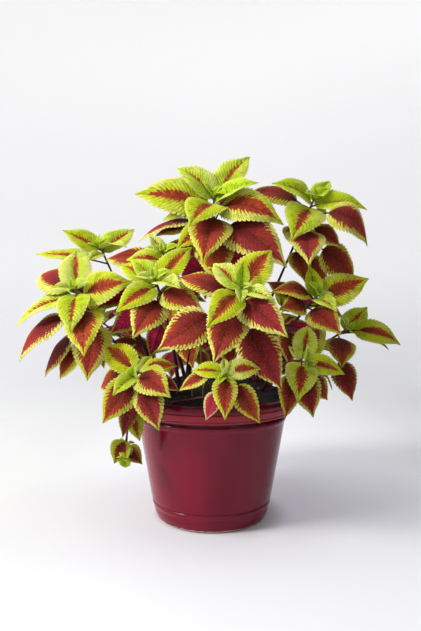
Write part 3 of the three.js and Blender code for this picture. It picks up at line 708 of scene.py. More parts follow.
def place(make, placed, stems):
    """Takes the first of the slightly smaller, turned or shifted forms that touches nothing."""
    best, fewest = None, math.inf
    for shrink in SHRINKS:
        for turn in TURNS:
            for step in STEPS:
                leaf = make(shrink, turn, step)
                leaf.sample()
                total = clashes(leaf, placed, stems)
                if total < fewest:
                    best, fewest = leaf, total
                if total == 0:
                    placed.append(best)
                    return
    placed.append(best)


def grow_seen(stem, rows, placed, stems):
    for below, across, up, depth, face, age, own in rows:
        node = stem.node(below)

        def make(shrink, turn, step):
            tip = node + shrink * (seen(across, up, depth + step) - node)
            tilt = math.radians(face + turn)
            look = np.array([0, -math.sin(tilt), math.cos(tilt)])
            return Leaf(stem, node, tip, look, age, **own)

        place(make, placed, stems)


def grow_behind(stem, pairs, heading, spread, placed, stems):
    outward = unit(np.array([stem.apex[0], stem.apex[1], 0.0]))
    for pair in range(pairs):
        for half in (0, 180):
            node = stem.node(PAIR_BELOW[pair])
            turned = math.radians(heading + 90 * pair + half + spread(HEADING_SPREAD))
            size = PAIR_REACH[pair] * (1 + spread(SIZE_SPREAD))
            risen = PAIR_RISE[pair] + spread(RISE_SPREAD)

            def make(shrink, turn, step):
                rise = math.radians(risen + step)
                flat = np.array([math.cos(turned), math.sin(turned), 0]) * math.cos(rise)
                tip = node + size * shrink * (flat + np.array([0, 0, math.sin(rise)]))
                tilt = math.radians(PAIR_FACE + turn)
                look = outward * math.sin(tilt) + np.array([0, 0, math.cos(tilt)])
                return Leaf(stem, node, tip, look, PAIR_AGE[pair])

            place(make, placed, stems)


def grow_plant():
    stems = [Stem(name, s["root"], s["knee"], seen(*s["apex"])) for name, s in SEEN_SHOOTS.items()]
    stems += [Stem(name, s["root"], s["knee"], s["apex"]) for name, s in BACK_SHOOTS.items()]
    leaves = []
    spread = Spread(RANDOM_START)
    for stem in stems:
        if stem.name in SEEN_SHOOTS:
            grow_seen(stem, SEEN_SHOOTS[stem.name]["leaves"], leaves, stems)
        else:
            shoot = BACK_SHOOTS[stem.name]
            grow_behind(stem, shoot["pairs"], shoot["heading"], spread, leaves, stems)
    return stems, leaves


def bud_leaves(stem, rng):
    """Two pairs of small leaves that have just opened at the top of a shoot."""
    top = stem.apex + stem.rise()
    out = [0, -1.0, 0] if stem.name in SEEN_SHOOTS else unit(stem.apex * [1, 1, 0])
    rise = unit(stem.rise() + 0.75 * np.array(out))
    aside = unit(np.cross(rise, [0.2, -1.0, 0.9]))
    ahead = np.cross(aside, rise)
    for (size, lean), axis in zip(BUD_PAIRS, (ahead, aside)):
        for outward in (axis, -axis):
            along = unit(rise + outward * (lean + rng.uniform(-0.15, 0.15)) + aside * rng.uniform(-0.2, 0.2))
            tip = top + along * size * rng.uniform(0.9, 1.15)
            yield Leaf(stem, top, tip, rise - outward * 0.6, BUD_AGE, **BUD_FORM)


# ---------- node trees ----------
class Value:
    """A node's output that takes part in Python expressions."""

    def __init__(self, graph, socket):
        self.graph = graph
        self.socket = socket

    def __add__(self, other):
        return self.graph.math("ADD", self, other)

    def __radd__(self, other):
        return self.graph.math("ADD", other, self)

    def __sub__(self, other):
        return self.graph.math("SUBTRACT", self, other)

    def __rsub__(self, other):
        return self.graph.math("SUBTRACT", other, self)

    def __mul__(self, other):
        return self.graph.math("MULTIPLY", self, other)

    def __rmul__(self, other):
        return self.graph.math("MULTIPLY", other, self)

    def __truediv__(self, other):
        return self.graph.math("DIVIDE", self, other)

    def __pow__(self, other):
        return self.graph.math("POWER", self, other)

    def __abs__(self):
        return self.graph.math("ABSOLUTE", self)

    def clamped(self):
        return self.graph.math("MINIMUM", self.graph.math("MAXIMUM", self, 0.0), 1.0)


class Graph:
    """A node tree whose nodes are all made by node()."""

    def __init__(self, tree):
        self.tree = tree

    def node(self, kind, values=None, **settings):
        node = self.tree.nodes.new(kind)
        for name, setting in settings.items():
            setattr(node, name, setting)
        for name, value in (values or {}).items():
            self.feed(node.inputs[name], value)
        return node

    def feed(self, socket, value):
        """Links an input to another node's output, or gives it a constant."""
        if isinstance(value, Value):
            self.tree.links.new(value.socket, socket)
        elif isinstance(value, bpy.types.NodeSocket):
            self.tree.links.new(value, socket)
        else:
            socket.default_value = value

    def value(self, kind, values=None, output=0, **settings):
        return Value(self, self.node(kind, values, **settings).outputs[output])

    def math(self, operation, *inputs):
        return self.value("ShaderNodeMath", dict(enumerate(inputs)), operation=operation)

    def step(self, value, low, high):
        """A soft step from 0 at low to 1 at high."""
        inputs = {"Value": value, "From Min": low, "From Max": high}
        return self.value("ShaderNodeMapRange", inputs, interpolation_type="SMOOTHSTEP")

    def attribute(self, name):
        return self.value("ShaderNodeAttribute", output="Fac", attribute_name=name)

    def place(self):
        return self.value("ShaderNodeTexCoord", output="Object")

    def height(self, place):
        return self.value("ShaderNodeSeparateXYZ", {0: place}, output=2)

    def stretched(self, place, scale):
        return self.value("ShaderNodeMapping", {"Vector": place, "Scale": scale})

    def noise(self, place, scale, detail=3.0, roughness=0.55):
        inputs = {"Vector": place, "Scale": scale, "Detail": detail, "Roughness": roughness}
        return self.value("ShaderNodeTexNoise", inputs)

    def cells(self, place, scale):
        """The distance to the edge of the cell that a place lies in."""
        inputs = {"Vector": place, "Scale": scale}
        return self.value("ShaderNodeTexVoronoi", inputs, feature="DISTANCE_TO_EDGE")

    def mix(self, factor, first, second):
        inputs = {0: factor, 6: first, 7: second}
        return self.value("ShaderNodeMix", inputs, output=2, data_type="RGBA")

    def layered(self, colour, *layers):
        """The colour with others laid over it in turn, each by its own factor."""
        for factor, over in layers:
            colour = self.mix(factor, colour, over)
        return colour

    def bump(self, height, strength, distance):
        inputs = {"Height": height, "Strength": strength, "Distance": distance}
        return self.value("ShaderNodeBump", inputs)

    def random(self, low, high, seed):
        inputs = {2: low, 3: high, "Seed": seed}
        return self.value("FunctionNodeRandomValue", inputs, output=1, data_type="FLOAT")

    def stored(self, geometry, name, number, domain="POINT"):
        """The geometry with a number kept on every point, or on every instance."""
        inputs = {"Geometry": geometry, "Name": name, "Value": number}
        kind = "GeometryNodeStoreNamedAttribute"
        return self.value(kind, inputs, data_type="FLOAT", domain=domain)

    def kept(self, name):
        """The number that was kept on the geometry under this name."""
        kind = "GeometryNodeInputNamedAttribute"
        return self.value(kind, {"Name": name}, output="Attribute", data_type="FLOAT")


def finish_material(name, make):
    material = bpy.data.materials.new(name)
    material.use_nodes = True
    graph = Graph(material.node_tree)
    shader = material.node_tree.nodes["Principled BSDF"]
    for socket, value in make(graph).items():
        graph.feed(shader.inputs[socket], value)
    return material


# ---------- finishes ----------
class Pattern:
    """What the colours of a leaf share: its looks, veins, noises and the edge of its red patch."""

    def __init__(self, g):
        for name in LEAF_LAYERS:
            setattr(self, name, g.attribute(name))
        self.across = abs(self.crosswise)
        place = g.place()
        self.fine = g.noise(place, 900.0, 2.0)
        self.patchy = g.noise(place, 110.0)
        self.broad = g.noise(place, 34.0, 2.0)
        self.net = g.step(g.cells(place, 460.0), 0.0, 0.14)

        # side veins end in the teeth, and the patch and the paler streaks run out along them
        self.near_vein = abs(g.math("FRACT", self.veins + (self.patchy - 0.5) * 0.3) - 0.5) * 2
        short_of_edge = 1 - g.step(self.across, 0.86, 1.0)
        self.vein = g.step(self.near_vein, 0.5 + 0.36 * self.across, 1.0) * short_of_edge
        self.rib = 1 - g.step(self.across, 0.01, 0.05)
        own = {0: self.veins * 1.7, 1: self.crosswise * 3.6, 2: self.tone * 90}
        self.streak = g.noise(g.value("ShaderNodeCombineXYZ", own), 1.0, 4.0, 0.72)

        # the patch is longer and broader the older the leaf is
        start = 0.3 - 0.4 * self.age
        end = 0.74 + 0.25 * self.age
        share = ((self.lengthwise - start) / (end - start)).clamped()
        belly = (share * (1 - share) * 4) ** (0.95 - 0.62 * self.age)
        reach = 0.03 + 0.82 * g.step(self.age, 0.08, 1.03) + (self.tone.clamped() - 0.5) * 0.14
        along_veins = (self.near_vein**2 - 0.33) * (0.12 + 0.08 * self.age)
        spikes = along_veins + (self.streak - 0.5) * (0.7 + 0.45 * self.age)
        self.edge = belly * (reach + spikes * g.step(belly, 0.0, 0.7) + (self.fine - 0.5) * 0.4)
        self.pink = g.step(self.tone, 1.1, 1.2)


def lime_colour(g, leaf, inside):
    """The lime green round the patch, with a yellow fringe and margin, pale patches that are partly a
    painted highlight, and painted shade.
    """
    pale = leaf.broad * 0.6 + leaf.streak * 0.9 + leaf.tone * 0.3 + leaf.across * 0.15
    deep = leaf.patchy + (0.5 - leaf.streak) * 0.6 + (1 - leaf.across) * 0.15
    fringe = g.step(inside, -0.09, 0.0) * g.step(leaf.age, 0.2, 0.6)
    notch = g.step(leaf.across, 0.72, 0.95) * (1 - g.step(leaf.near_vein, 0.08, 0.45))
    return g.layered(
        g.mix(leaf.age.clamped(), YOUNG_LIME, OLD_LIME),
        # pale patches, partly random and partly a painted highlight, which the painted shade takes away
        (g.step(pale, 0.88, 1.2) * 0.85 * (1 - leaf.dark), PALE_LIME_AND_HIGHLIGHT),
        (g.step(deep, 0.5, 0.75) * 0.6, DEEP_LIME),
        (leaf.vein * (0.95 - 0.5 * leaf.across), VEIN_GREEN),
        (g.step(leaf.fine, 0.4, 0.7) * 0.3, LIME_GRAIN),
        (fringe * 0.6, FRINGE_YELLOW),
        (g.step(leaf.across, 0.84, 0.98) * (0.4 + 0.3 * leaf.age), RIM_YELLOW),
        (notch * g.step(leaf.age, 0.25, 0.7) * 0.6, NOTCH_OLIVE),
        ((leaf.dark * 0.9).clamped(), SHADED_LIME),
        (leaf.pink * 0.8, CREAM),
    )


def patch_colour(g, leaf):
    """The red of the patch: browner or more purple by tone, with a painted sheen, and nearly black in the
    middle and towards the stalk, partly its own colour and partly painted shade.
    """
    hue = leaf.tone + (leaf.broad - 0.5) * 1.2
    lit_end = g.step(leaf.lengthwise, 0.35, 0.85) * g.step(leaf.age, 0.5, 0.9) * (1 - leaf.dark)
    # near black: partly the old leaf's own dark middle, partly painted shade towards the stalk and on shaded
    # leaves
    dark_middle_and_shade = leaf.age * 0.6 - 0.28 + leaf.dark * 0.9 + (1 - leaf.across) * 0.36
    dark_middle_and_shade = dark_middle_and_shade + (0.42 - leaf.lengthwise) * 1.1 + (leaf.streak - 0.5) * 0.7
    # painted sheen: pinkish highlights in streaks over the patch
    painted_sheen = g.step(leaf.streak, 0.46, 0.74) * g.step(leaf.across, 0.05, 0.6)
    return g.layered(
        g.mix(g.step(leaf.streak, 0.35, 0.65), BRICK, DEEP_BRICK),
        ((0.6 - hue * 1.8).clamped() * 0.9, BROWN),
        ((leaf.age + hue * 1.4 - 1.25).clamped() * 0.8, CRIMSON),
        (lit_end * 0.16, LIT_BRICK),
        (dark_middle_and_shade.clamped() * 0.88, NEAR_BLACK),
        (g.math("MAXIMUM", leaf.rib * 0.4, leaf.vein * 0.25), VEIN_RED),
        (g.step(leaf.fine, 0.46, 0.68) * 0.2, BRICK_GRAIN),
        (painted_sheen * 0.45, PAINTED_SHEEN),
        (leaf.pink * 0.8, PINK),
    )


def underside_colour(g, leaf):
    """The paler underside, flushed with pink where the patch lies above it."""
    flesh = g.mix(g.step(leaf.patchy, 0.3, 0.7), UNDER_FLESH, UNDER_DEEP_FLESH)
    flesh = g.mix(leaf.vein * 0.4 + leaf.rib * 0.4, flesh, UNDER_VEIN)
    pale = g.mix(g.step(leaf.age, 0.05, 0.4), UNDER_YOUNG_LIME, UNDER_OLD_LIME)
    flushed = leaf.edge - leaf.across + 0.14 * g.step(leaf.age, 0.1, 0.5)
    back = g.mix(g.step(flushed, -0.03, 0.06), pale, flesh)
    return g.mix((leaf.dark * 0.7).clamped(), back, UNDER_SHADE)


def leaf_finish(g):
    leaf = Pattern(g)
    along = leaf.lengthwise
    tail = (1 - g.step(along, 0.86, 0.99)) * g.step(along, 0.3, 0.6) * 0.035
    inside = g.math("MAXIMUM", leaf.edge, tail) - leaf.across
    top = g.mix(g.step(inside, -0.01, 0.02), lime_colour(g, leaf, inside), patch_colour(g, leaf))
    top = g.mix((1 - leaf.net) * 0.14, top, LEAF_PORES)
    relief = leaf.net * 0.4 + leaf.fine * 0.3 - leaf.vein * 1.1 + (leaf.streak - 0.5) * 0.8
    return {
        "Base Color": g.mix(leaf.under, top, underside_colour(g, leaf)),
        "Roughness": 0.4 + 0.2 * leaf.fine,
        "Specular IOR Level": 0.04,
        "Subsurface Weight": 0.12,
        "Subsurface Radius": (0.9, 0.8, 0.2),
        "Subsurface Scale": 0.0015,
        "Normal": g.bump(relief, 0.6, 0.0006),
    }


def stem_finish(g):
    age = g.attribute("age")
    streak = g.noise(g.stretched(g.place(), (1.0, 1.0, 0.12)), 420.0)
    blush = g.mix(g.step(age, 0.12, 0.5), g.mix(streak, *YOUNG_STEM), STEM_BLUSH)
    old = g.step(age + (streak - 0.5) * 0.3, 0.35, 0.8)
    return {
        "Base Color": g.mix(old, blush, g.mix(streak, *OLD_STEM)),
        "Roughness": 0.4 + 0.2 * streak,
        "Specular IOR Level": 0.25,
        "Normal": g.bump(streak, 0.4, 0.0003),
    }


def hair_finish(g):
    return {"Base Color": g.mix(g.noise(g.place(), 300.0), *HAIRS), "Roughness": 0.6}


def glaze_finish(g):
    place = g.place()
    height = g.height(place)
    runs = g.noise(g.stretched(place, (1.0, 1.0, 0.1)), 30.0, 4.0)
    cloud = g.noise(g.stretched(place, (1.0, 1.0, 0.35)), 11.0, 2.0)
    speck = g.step(g.noise(place, 620.0, 2.0), 0.68, 0.78)
    # painted shade: bands of the glaze are darkened over the grooves and the lip
    painted_shade = 0.0
    for middle, half, depth in PAINTED_SHADE_BANDS:
        painted_shade = (1 - g.step(abs(height - middle * MM), half * 0.4 * MM, half * MM)) * depth + painted_shade
    band = g.step(height, BAND_START[0] * MM, BAND_START[1] * MM)
    band = band * g.step(height, BAND_END[0] * MM, BAND_END[1] * MM)
    # the glaze is scuffed just over the foot and ends where the pot stands
    scuff = g.step(g.noise(place, 260.0) + 0.5 * g.step(height, 0.003, 0.0012), 0.55, 0.75)
    worn = scuff * g.step(height, 0.0042, 0.0022) * g.step(height, 0.0006, 0.0016)
    bare = g.step(height + (cloud - 0.5) * 0.001, 0.0009, 0.0004)
    colour = g.layered(
        g.mix(g.step(cloud, 0.3, 0.72), *GLAZE),
        (g.step(runs, 0.4, 0.8) * 0.3, GLAZE_RUNS),
        (painted_shade.clamped(), GLAZE_IN_PAINTED_SHADE),
        (speck * 0.25, GLAZE_SPECKS),
        (band * 0.45, RIM_RED),
        (worn * 0.85, GLAZE_SCUFFS),
        (bare, BARE_CLAY),
    )
    ripple = g.noise(place, 24.0, 2.0) * 0.7 + g.noise(place, 160.0, 2.0) * 0.12
    return {
        "Base Color": colour,
        "Roughness": 0.15 + 0.08 * runs + bare * 0.5,
        "Specular IOR Level": 0.18,
        "Coat Weight": (0.12 + 0.2 * band) * (1 - bare),
        "Coat Roughness": 0.03,
        "Normal": g.bump(ripple, 0.16, 0.004),
    }


def soil_finish(g):
    place = g.place()
    grain = g.noise(place, 340.0, 5.0, 0.7)
    damp = g.step(g.noise(place, 40.0), 0.4, 0.7)
    return {
        "Base Color": g.mix(damp * 0.6, g.mix(grain, *SOIL_AND_SHADE), DAMP_SOIL),
        "Roughness": 0.8 + 0.15 * grain,
        "Normal": g.bump(grain, 0.8, 0.0012),
    }


def crumb_finish(low, high):
    def make(g):
        grain = g.noise(g.place(), 700.0)
        return {
            "Base Color": g.mix((g.attribute("tone") * 0.75 + grain * 0.3).clamped(), low, high),
            "Roughness": 0.75 + 0.2 * grain,
            "Normal": g.bump(grain, 0.6, 0.0005),
        }

    return make


def sweep_glow(g):
    """The soft light that the sweep gives off itself, as a large white studio would."""
    parts = g.node("ShaderNodeSeparateXYZ", {0: g.place()})
    aside, depth, height = [Value(g, parts.outputs[axis]) for axis in range(3)]
    # painted shadow: the floor right next to the pot's foot gives off less of this light
    away = (aside * aside + depth * depth) ** 0.5
    open_floor = g.step(away, 0.066, 0.07 + 0.028 * g.step(aside, 0.0, 0.05))
    off_middle = (aside - 0.08) / 0.32
    near_left = g.step(aside, -0.08, -0.32) * (1 - g.step(depth, 0.3, 1.1))
    far_left = g.step(aside, -0.2, -0.7) * g.step(depth, 0.5, 1.5)
    floor_share = open_floor * (0.5 + 0.5 * (1 - off_middle * off_middle).clamped()) - near_left * 0.4
    floor = g.mix((floor_share + far_left * 0.5).clamped(), DARK_FLOOR_GLOW, FLOOR_GLOW)
    # the wall is brightest at the top, and a little darker on the right
    high = g.step(height, 0.6, 1.7)
    wall = g.mix(high, LOW_WALL_GLOW, HIGH_WALL_GLOW)
    wall = g.mix(g.step(aside, 0.0, 1.0) * (1 - high) * 0.5, wall, RIGHT_WALL_GLOW)
    return g.mix(g.step(height, 0.0, 0.5) * g.step(depth, 0.2, 1.2), floor, wall)


def sweep_finish(g):
    return {
        "Base Color": SWEEP_PAPER,
        "Roughness": 0.85,
        "Specular IOR Level": 0.2,
        "Emission Color": sweep_glow(g),
        "Emission Strength": 0.4,
    }


def flag_finish(g):
    return {"Base Color": FLAG_CLOTH}


# ---------- plain helpers for meshes ----------
def link(name, data):
    thing = bpy.data.objects.new(name, data)
    bpy.context.scene.collection.objects.link(thing)
    return thing


def set_attribute(mesh, name, values):
    layer = mesh.attributes.new(name, "FLOAT", "POINT")
    layer.data.foreach_set("value", np.asarray(values, np.float32))


def settle(thing, modifier):
    """Turns what the modifier makes into the object's own plain mesh."""
    graph = bpy.context.evaluated_depsgraph_get()
    mesh = bpy.data.meshes.new_from_object(
        thing.evaluated_get(graph), preserve_all_data_layers=True, depsgraph=graph
    )
    mesh.name = thing.name
    thing.modifiers.remove(modifier)
    thing.data = mesh


def keep(thing, node):
    """Makes a finished piece part of the pot of coleus, in place of its CAD node."""
    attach(thing, "root")
    if node:
        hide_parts(node)


# ---------- leaf blades ----------
class Skin:
    """The blades of one shoot, gathered into one mesh."""

    def __init__(self):
        self.points, self.faces, self.count = [], [], 0
        self.layers = {name: [] for name in (*LEAF_LAYERS, "rim")}

    def add_blade(self, leaf, looks, rng):
        teeth = int(np.clip(round(TEETH_BASE + leaf.blade / BLADE_PER_TOOTH), FEWEST_TEETH, MOST_TEETH))
        steps = np.arange(1, ROWS_PER_TOOTH * teeth)
        veins = steps[:, None] / ROWS_PER_TOOTH + 0 * COLUMN_PLACES
        q = COLUMN_PLACES + 0 * veins
        u, place, across = self.toothed(veins, q, steps[:, None] % ROWS_PER_TOOTH, teeth)
        middle = leaf.surface(place, across, FULLER_BASE)
        middle = middle + self.relief(leaf, u, q, veins, rng)[..., None] * leaf.up
        base, tip = leaf.surface(np.array([0.0, 1.0]), np.zeros(2))
        grid = middle.reshape(-1, 3)
        half = BLADE_THICKNESS / 2 * leaf.up
        size = len(grid)
        ends = np.vstack([base, tip])
        self.points.append(np.vstack([grid + half, grid - half, ends]) * MM)
        self.faces += self.blade_faces(len(steps), len(COLUMN_PLACES), size)
        edge = np.abs(q.ravel()) > EDGE_PLACE
        self.extend("lengthwise", [u.ravel(), u.ravel(), [0, 1]])
        self.extend("crosswise", [q.ravel(), q.ravel(), [0, 0]])
        self.extend("veins", [veins.ravel(), veins.ravel(), [0, teeth]])
        self.extend("under", [np.zeros(size), np.ones(size), [0, 0]])
        self.extend("rim", [edge * UPPER_RIM, edge * LOWER_RIM, [RIM_END, RIM_END]])
        for name, value in looks.items():
            self.extend(name, [np.full(2 * size + 2, value)])
        self.count += 2 * size + 2

    def extend(self, name, parts):
        self.layers[name].append(np.concatenate([np.asarray(p, float) for p in parts]))

    def toothed(self, veins, q, step, teeth):
        """Side veins sweep forward from the midrib, and each ends in the point of a tooth."""
        a = np.abs(q)
        margin = veins / teeth
        bend = 4 * VEIN_SWEEP
        foot = (1 + bend - np.sqrt((1 + bend) ** 2 - 4 * bend * margin)) / (2 * bend)
        u = foot + (margin - foot) * a**VEIN_BEND
        edge = np.clip((a - (1 - TOOTH_ZONE)) / TOOTH_ZONE, 0, 1) ** 1.5
        fade = np.clip(margin / BASE_FADE, 0, 1) * np.clip((1 - margin) / TIP_FADE, 0, 1)
        reach = np.choose(step, TOOTH_OUT) * fade
        ahead = np.choose(step, TOOTH_AHEAD) / teeth * fade
        place = np.clip(u + edge * ahead, 0, LAST_PLACE)
        drawn_out = 1 - TIP_PINCH * np.exp(-(((place - PINCH_PLACE) / PINCH_LENGTH) ** 2))
        return u, place, q * (1 + edge * reach) * drawn_out

    def relief(self, leaf, u, q, veins, rng):
        """Quilting between sunken veins, a bulge beside the midrib and a waved margin."""
        size = leaf.blade / USUAL_BLADE
        a = np.abs(q)
        quilt = QUILT * np.sin(np.pi * veins) ** 2 * np.sin(np.pi * a) ** 0.7
        groove = -GROOVE * np.exp(-((a / GROOVE_BREADTH) ** 2))
        crown = leaf.half * BULGE * (1 - (2 * a - 1) ** 2) * np.sin(np.pi * u)
        start = rng.uniform(0, 2 * math.pi, 2)
        turns = rng.uniform(*WAVE_COUNT)
        side = np.where(q > 0, start[0], start[1])
        wave = WAVE * a**3 * np.sin(turns * 2 * np.pi * u + side) * np.sin(np.pi * u)
        return size * (quilt + groove + wave) + crown

    def blade_faces(self, rows, columns, size):
        """The faces of the upper and the lower sheet, and those that close its margin."""
        first = self.count
        base, tip = first + 2 * size, first + 2 * size + 1
        faces = []

        def take(some, reverse):
            faces.extend(face[::-1] if reverse else face for face in some)

        for sheet, reverse in ((first, False), (first + size, True)):
            for row in range(rows - 1):
                corners = range(sheet + row * columns, sheet + row * columns + columns - 1)
                take([(a, a + columns, a + columns + 1, a + 1) for a in corners], reverse)
            for low in range(sheet, sheet + columns - 1):
                high = low + (rows - 1) * columns
                take([(base, low, low + 1), (tip, high + 1, high)], reverse)
        for column, reverse in ((0, False), (columns - 1, True)):
            chain = [first + row * columns + column for row in range(rows)]
            take([(a, a + size, b + size, b) for a, b in zip(chain, chain[1:])], reverse)
            take([(base, chain[0] + size, chain[0]), (tip, chain[-1], chain[-1] + size)], reverse)
        return faces

    def mesh(self, name):
        mesh = bpy.data.meshes.new(name)
        mesh.from_pydata(np.vstack(self.points), [], self.faces)
        mesh.polygons.foreach_set("use_smooth", np.ones(len(mesh.polygons), bool))
        layers = {n: np.concatenate(v) for n, v in self.layers.items()}
        rim = layers.pop("rim")
        for layer, values in layers.items():
            set_attribute(mesh, layer, values)
        ends = np.empty(len(mesh.edges) * 2, int)
        mesh.edges.foreach_get("vertices", ends)
        low, high = rim[ends[0::2]], rim[ends[1::2]]
        sharp = (low > 0) & (high > 0) & ((low == high) | (low == RIM_END) | (high == RIM_END))
        layer = mesh.attributes.new("sharp_edge", "BOOLEAN", "EDGE")
        layer.data.foreach_set("value", sharp)
        return mesh


# ---------- stems, stalks and midribs ----------
class Skeleton:
    """The lines that stems, stalks and midribs follow, with their radius along them."""

    def __init__(self):
        self.points, self.edges, self.radius, self.age = [], [], [], []

    def add_line(self, points, radius, age):
        first = len(self.points)
        self.points += [tuple(p * MM) for p in points]
        self.radius += [r * MM for r in radius]
        self.age += list(age)
        self.edges += [(i, i + 1) for i in range(first, first + len(points) - 1)]

    def add_stem(self, stem, nodes):
        """The stem, from its root in the soil to the bud at its top, swollen at its leaf joints."""
        t = np.linspace(0, 1, STEM_POINTS)
        line = stem.point(t)
        swell = np.zeros(len(t))
        for node in nodes:
            swell += JOINT_SWELL * np.exp(-((np.linalg.norm(line - node, axis=1) / JOINT_LENGTH) ** 2))
        radius = (STEM_FOOT + (STEM_TIP - STEM_FOOT) * t**0.6) * (1 + np.minimum(swell, MOST_SWELL))
        up = np.array([0, 0, 1.0])
        peg = [stem.root - up * ROOT_DEPTH, stem.root - up * PEG_BELOW, stem.root + up * PEG_ABOVE]
        rise = stem.rise()
        points = np.vstack([peg, line[1:], stem.apex + rise * BUD * 0.6, stem.apex + rise * BUD])
        radius = np.concatenate([[STEM_FOOT] * 3, radius[1:], [STEM_TIP * 0.7, BUD_RADIUS]])
        age = np.concatenate([[1, 1, 1], 1.05 - 0.7 * t[1:] ** 2, [0.3, 0.2]])
        self.add_line(points, radius, age)

    def add_stalk(self, leaf):
        """The stalk, and the midrib that goes on from it under the blade."""
        end = leaf.stalk + (1 - leaf.stalk) * MIDRIB_END
        bare = np.linspace(0, leaf.stalk, STALK_POINTS)
        t = np.unique(np.concatenate([bare, np.linspace(leaf.stalk, end, MIDRIB_POINTS)]))
        share = np.clip((t - leaf.stalk) / (end - leaf.stalk), 0, 1)
        size = np.clip(leaf.reach / USUAL_BLADE, 0.35, 1.0)
        radius = STALK_RADIUS * size * (1 - 0.25 * t / end) * (1 - share) ** 0.75 + MIDRIB_RADIUS
        sunk = np.clip(share / MIDRIB_SINKS, 0, 1) * (radius * 0.9 + 0.3 * size)
        age = np.full(len(t), 0.12 + 0.75 * leaf.age) * (1 - 0.35 * share)
        self.add_line(leaf.midrib(t) - sunk[:, None] * leaf.up, radius, age)

    def add_bare_stalk(self, root, knee, leaf, age):
        """An old stalk that rises from the soil and ends just under a leaf."""
        foot = np.array([*root, soil_height(math.hypot(*root)) - BARE_STALK_DEPTH])
        end = leaf.midrib(leaf.stalk + BARE_STALK_END)
        t = np.linspace(0, 1, BARE_STALK_POINTS)
        line = bent_line(foot, np.array(knee), end - leaf.up, t[:, None])
        self.add_line(line, BARE_STALK_FOOT - BARE_STALK_TAPER * t, np.full(len(t), age))

    def mesh(self, name):
        mesh = bpy.data.meshes.new(name)
        mesh.from_pydata(self.points, self.edges, [])
        set_attribute(mesh, "thickness", self.radius)
        set_attribute(mesh, "age", self.age)
        return mesh


# ---------- Geometry Nodes ----------
def geometry_tree(name, inputs):
    """A new Geometry Nodes tree with named inputs; returns its graph, inputs and socket names."""
    tree = bpy.data.node_groups.new(name, "GeometryNodeTree")
    for way in ("INPUT", "OUTPUT"):
        tree.interface.new_socket("Geometry", in_out=way, socket_type="NodeSocketGeometry")
    identifiers = {}
    for label, kind in inputs.items():
        item = tree.interface.new_socket(label, in_out="INPUT", socket_type=f"NodeSocket{kind}")
        identifiers[label] = item.identifier
    graph = Graph(tree)
    return graph, graph.node("NodeGroupInput").outputs, identifiers


def use_tree(thing, tree, identifiers, values):
    """Gives the object a modifier that runs the tree with these inputs."""
    modifier = thing.modifiers.new(tree.name, "NODES")
    modifier.node_group = tree
    for label, value in values.items():
        modifier[identifiers[label]] = value
    thing.update_tag()
    return modifier


def shoot_tree():
    """Tubes along the skeleton, with short hairs on them, joined to the blades."""
    g, wires, identifiers = geometry_tree(
        "leafy_shoot",
        {
            "Skeleton": "Object",
            "Sides": "Int",
            "Hairs per m2": "Float",
            "Hair length": "Float",
            "Seed": "Int",
            "Stem finish": "Material",
            "Hair finish": "Material",
        },
    )
    lines = g.value("GeometryNodeObjectInfo", {"Object": wires["Skeleton"]}, output="Geometry")
    curves = g.value("GeometryNodeMeshToCurve", {"Mesh": lines})
    ring = g.value("GeometryNodeCurvePrimitiveCircle", {"Resolution": wires["Sides"], "Radius": 1.0})
    round_lines = {"Curve": curves, "Profile Curve": ring, "Scale": g.kept("thickness"), "Fill Caps": True}
    tubes = g.value("GeometryNodeCurveToMesh", round_lines)
    smooth = g.value("GeometryNodeSetShadeSmooth", {"Geometry": tubes})
    stems = g.stored(smooth, "mark", STEM_MARK)
    strewn = {"Mesh": tubes, "Density": wires["Hairs per m2"], "Seed": wires["Seed"]}
    spots = g.node("GeometryNodeDistributePointsOnFaces", strewn).outputs
    shape = {"Vertices": 3, "Radius Top": 0.0, "Radius Bottom": HAIR_RADIUS * MM}
    spike = g.value("GeometryNodeMeshCone", {**shape, "Depth": wires["Hair length"]})
    hair = g.stored(spike, "mark", HAIR_MARK)
    planted = {"Points": spots["Points"], "Instance": hair, "Rotation": spots["Rotation"]}
    hairs = g.value("GeometryNodeInstanceOnPoints", planted)
    join = g.node("GeometryNodeJoinGeometry")
    for geometry in (hairs, stems, wires["Geometry"]):
        g.feed(join.inputs[0], geometry)
    whole = g.value("GeometryNodeRealizeInstances", {"Geometry": join.outputs[0]})
    mark = g.kept("mark")
    for number, finish in ((STEM_MARK, "Stem finish"), (HAIR_MARK, "Hair finish")):
        chosen = g.math("COMPARE", mark, number, 0.1)
        clad = {"Geometry": whole, "Selection": chosen, "Material": wires[finish]}
        whole = g.value("GeometryNodeSetMaterial", clad)
    g.node("NodeGroupOutput", {0: whole})
    return g.tree, identifiers


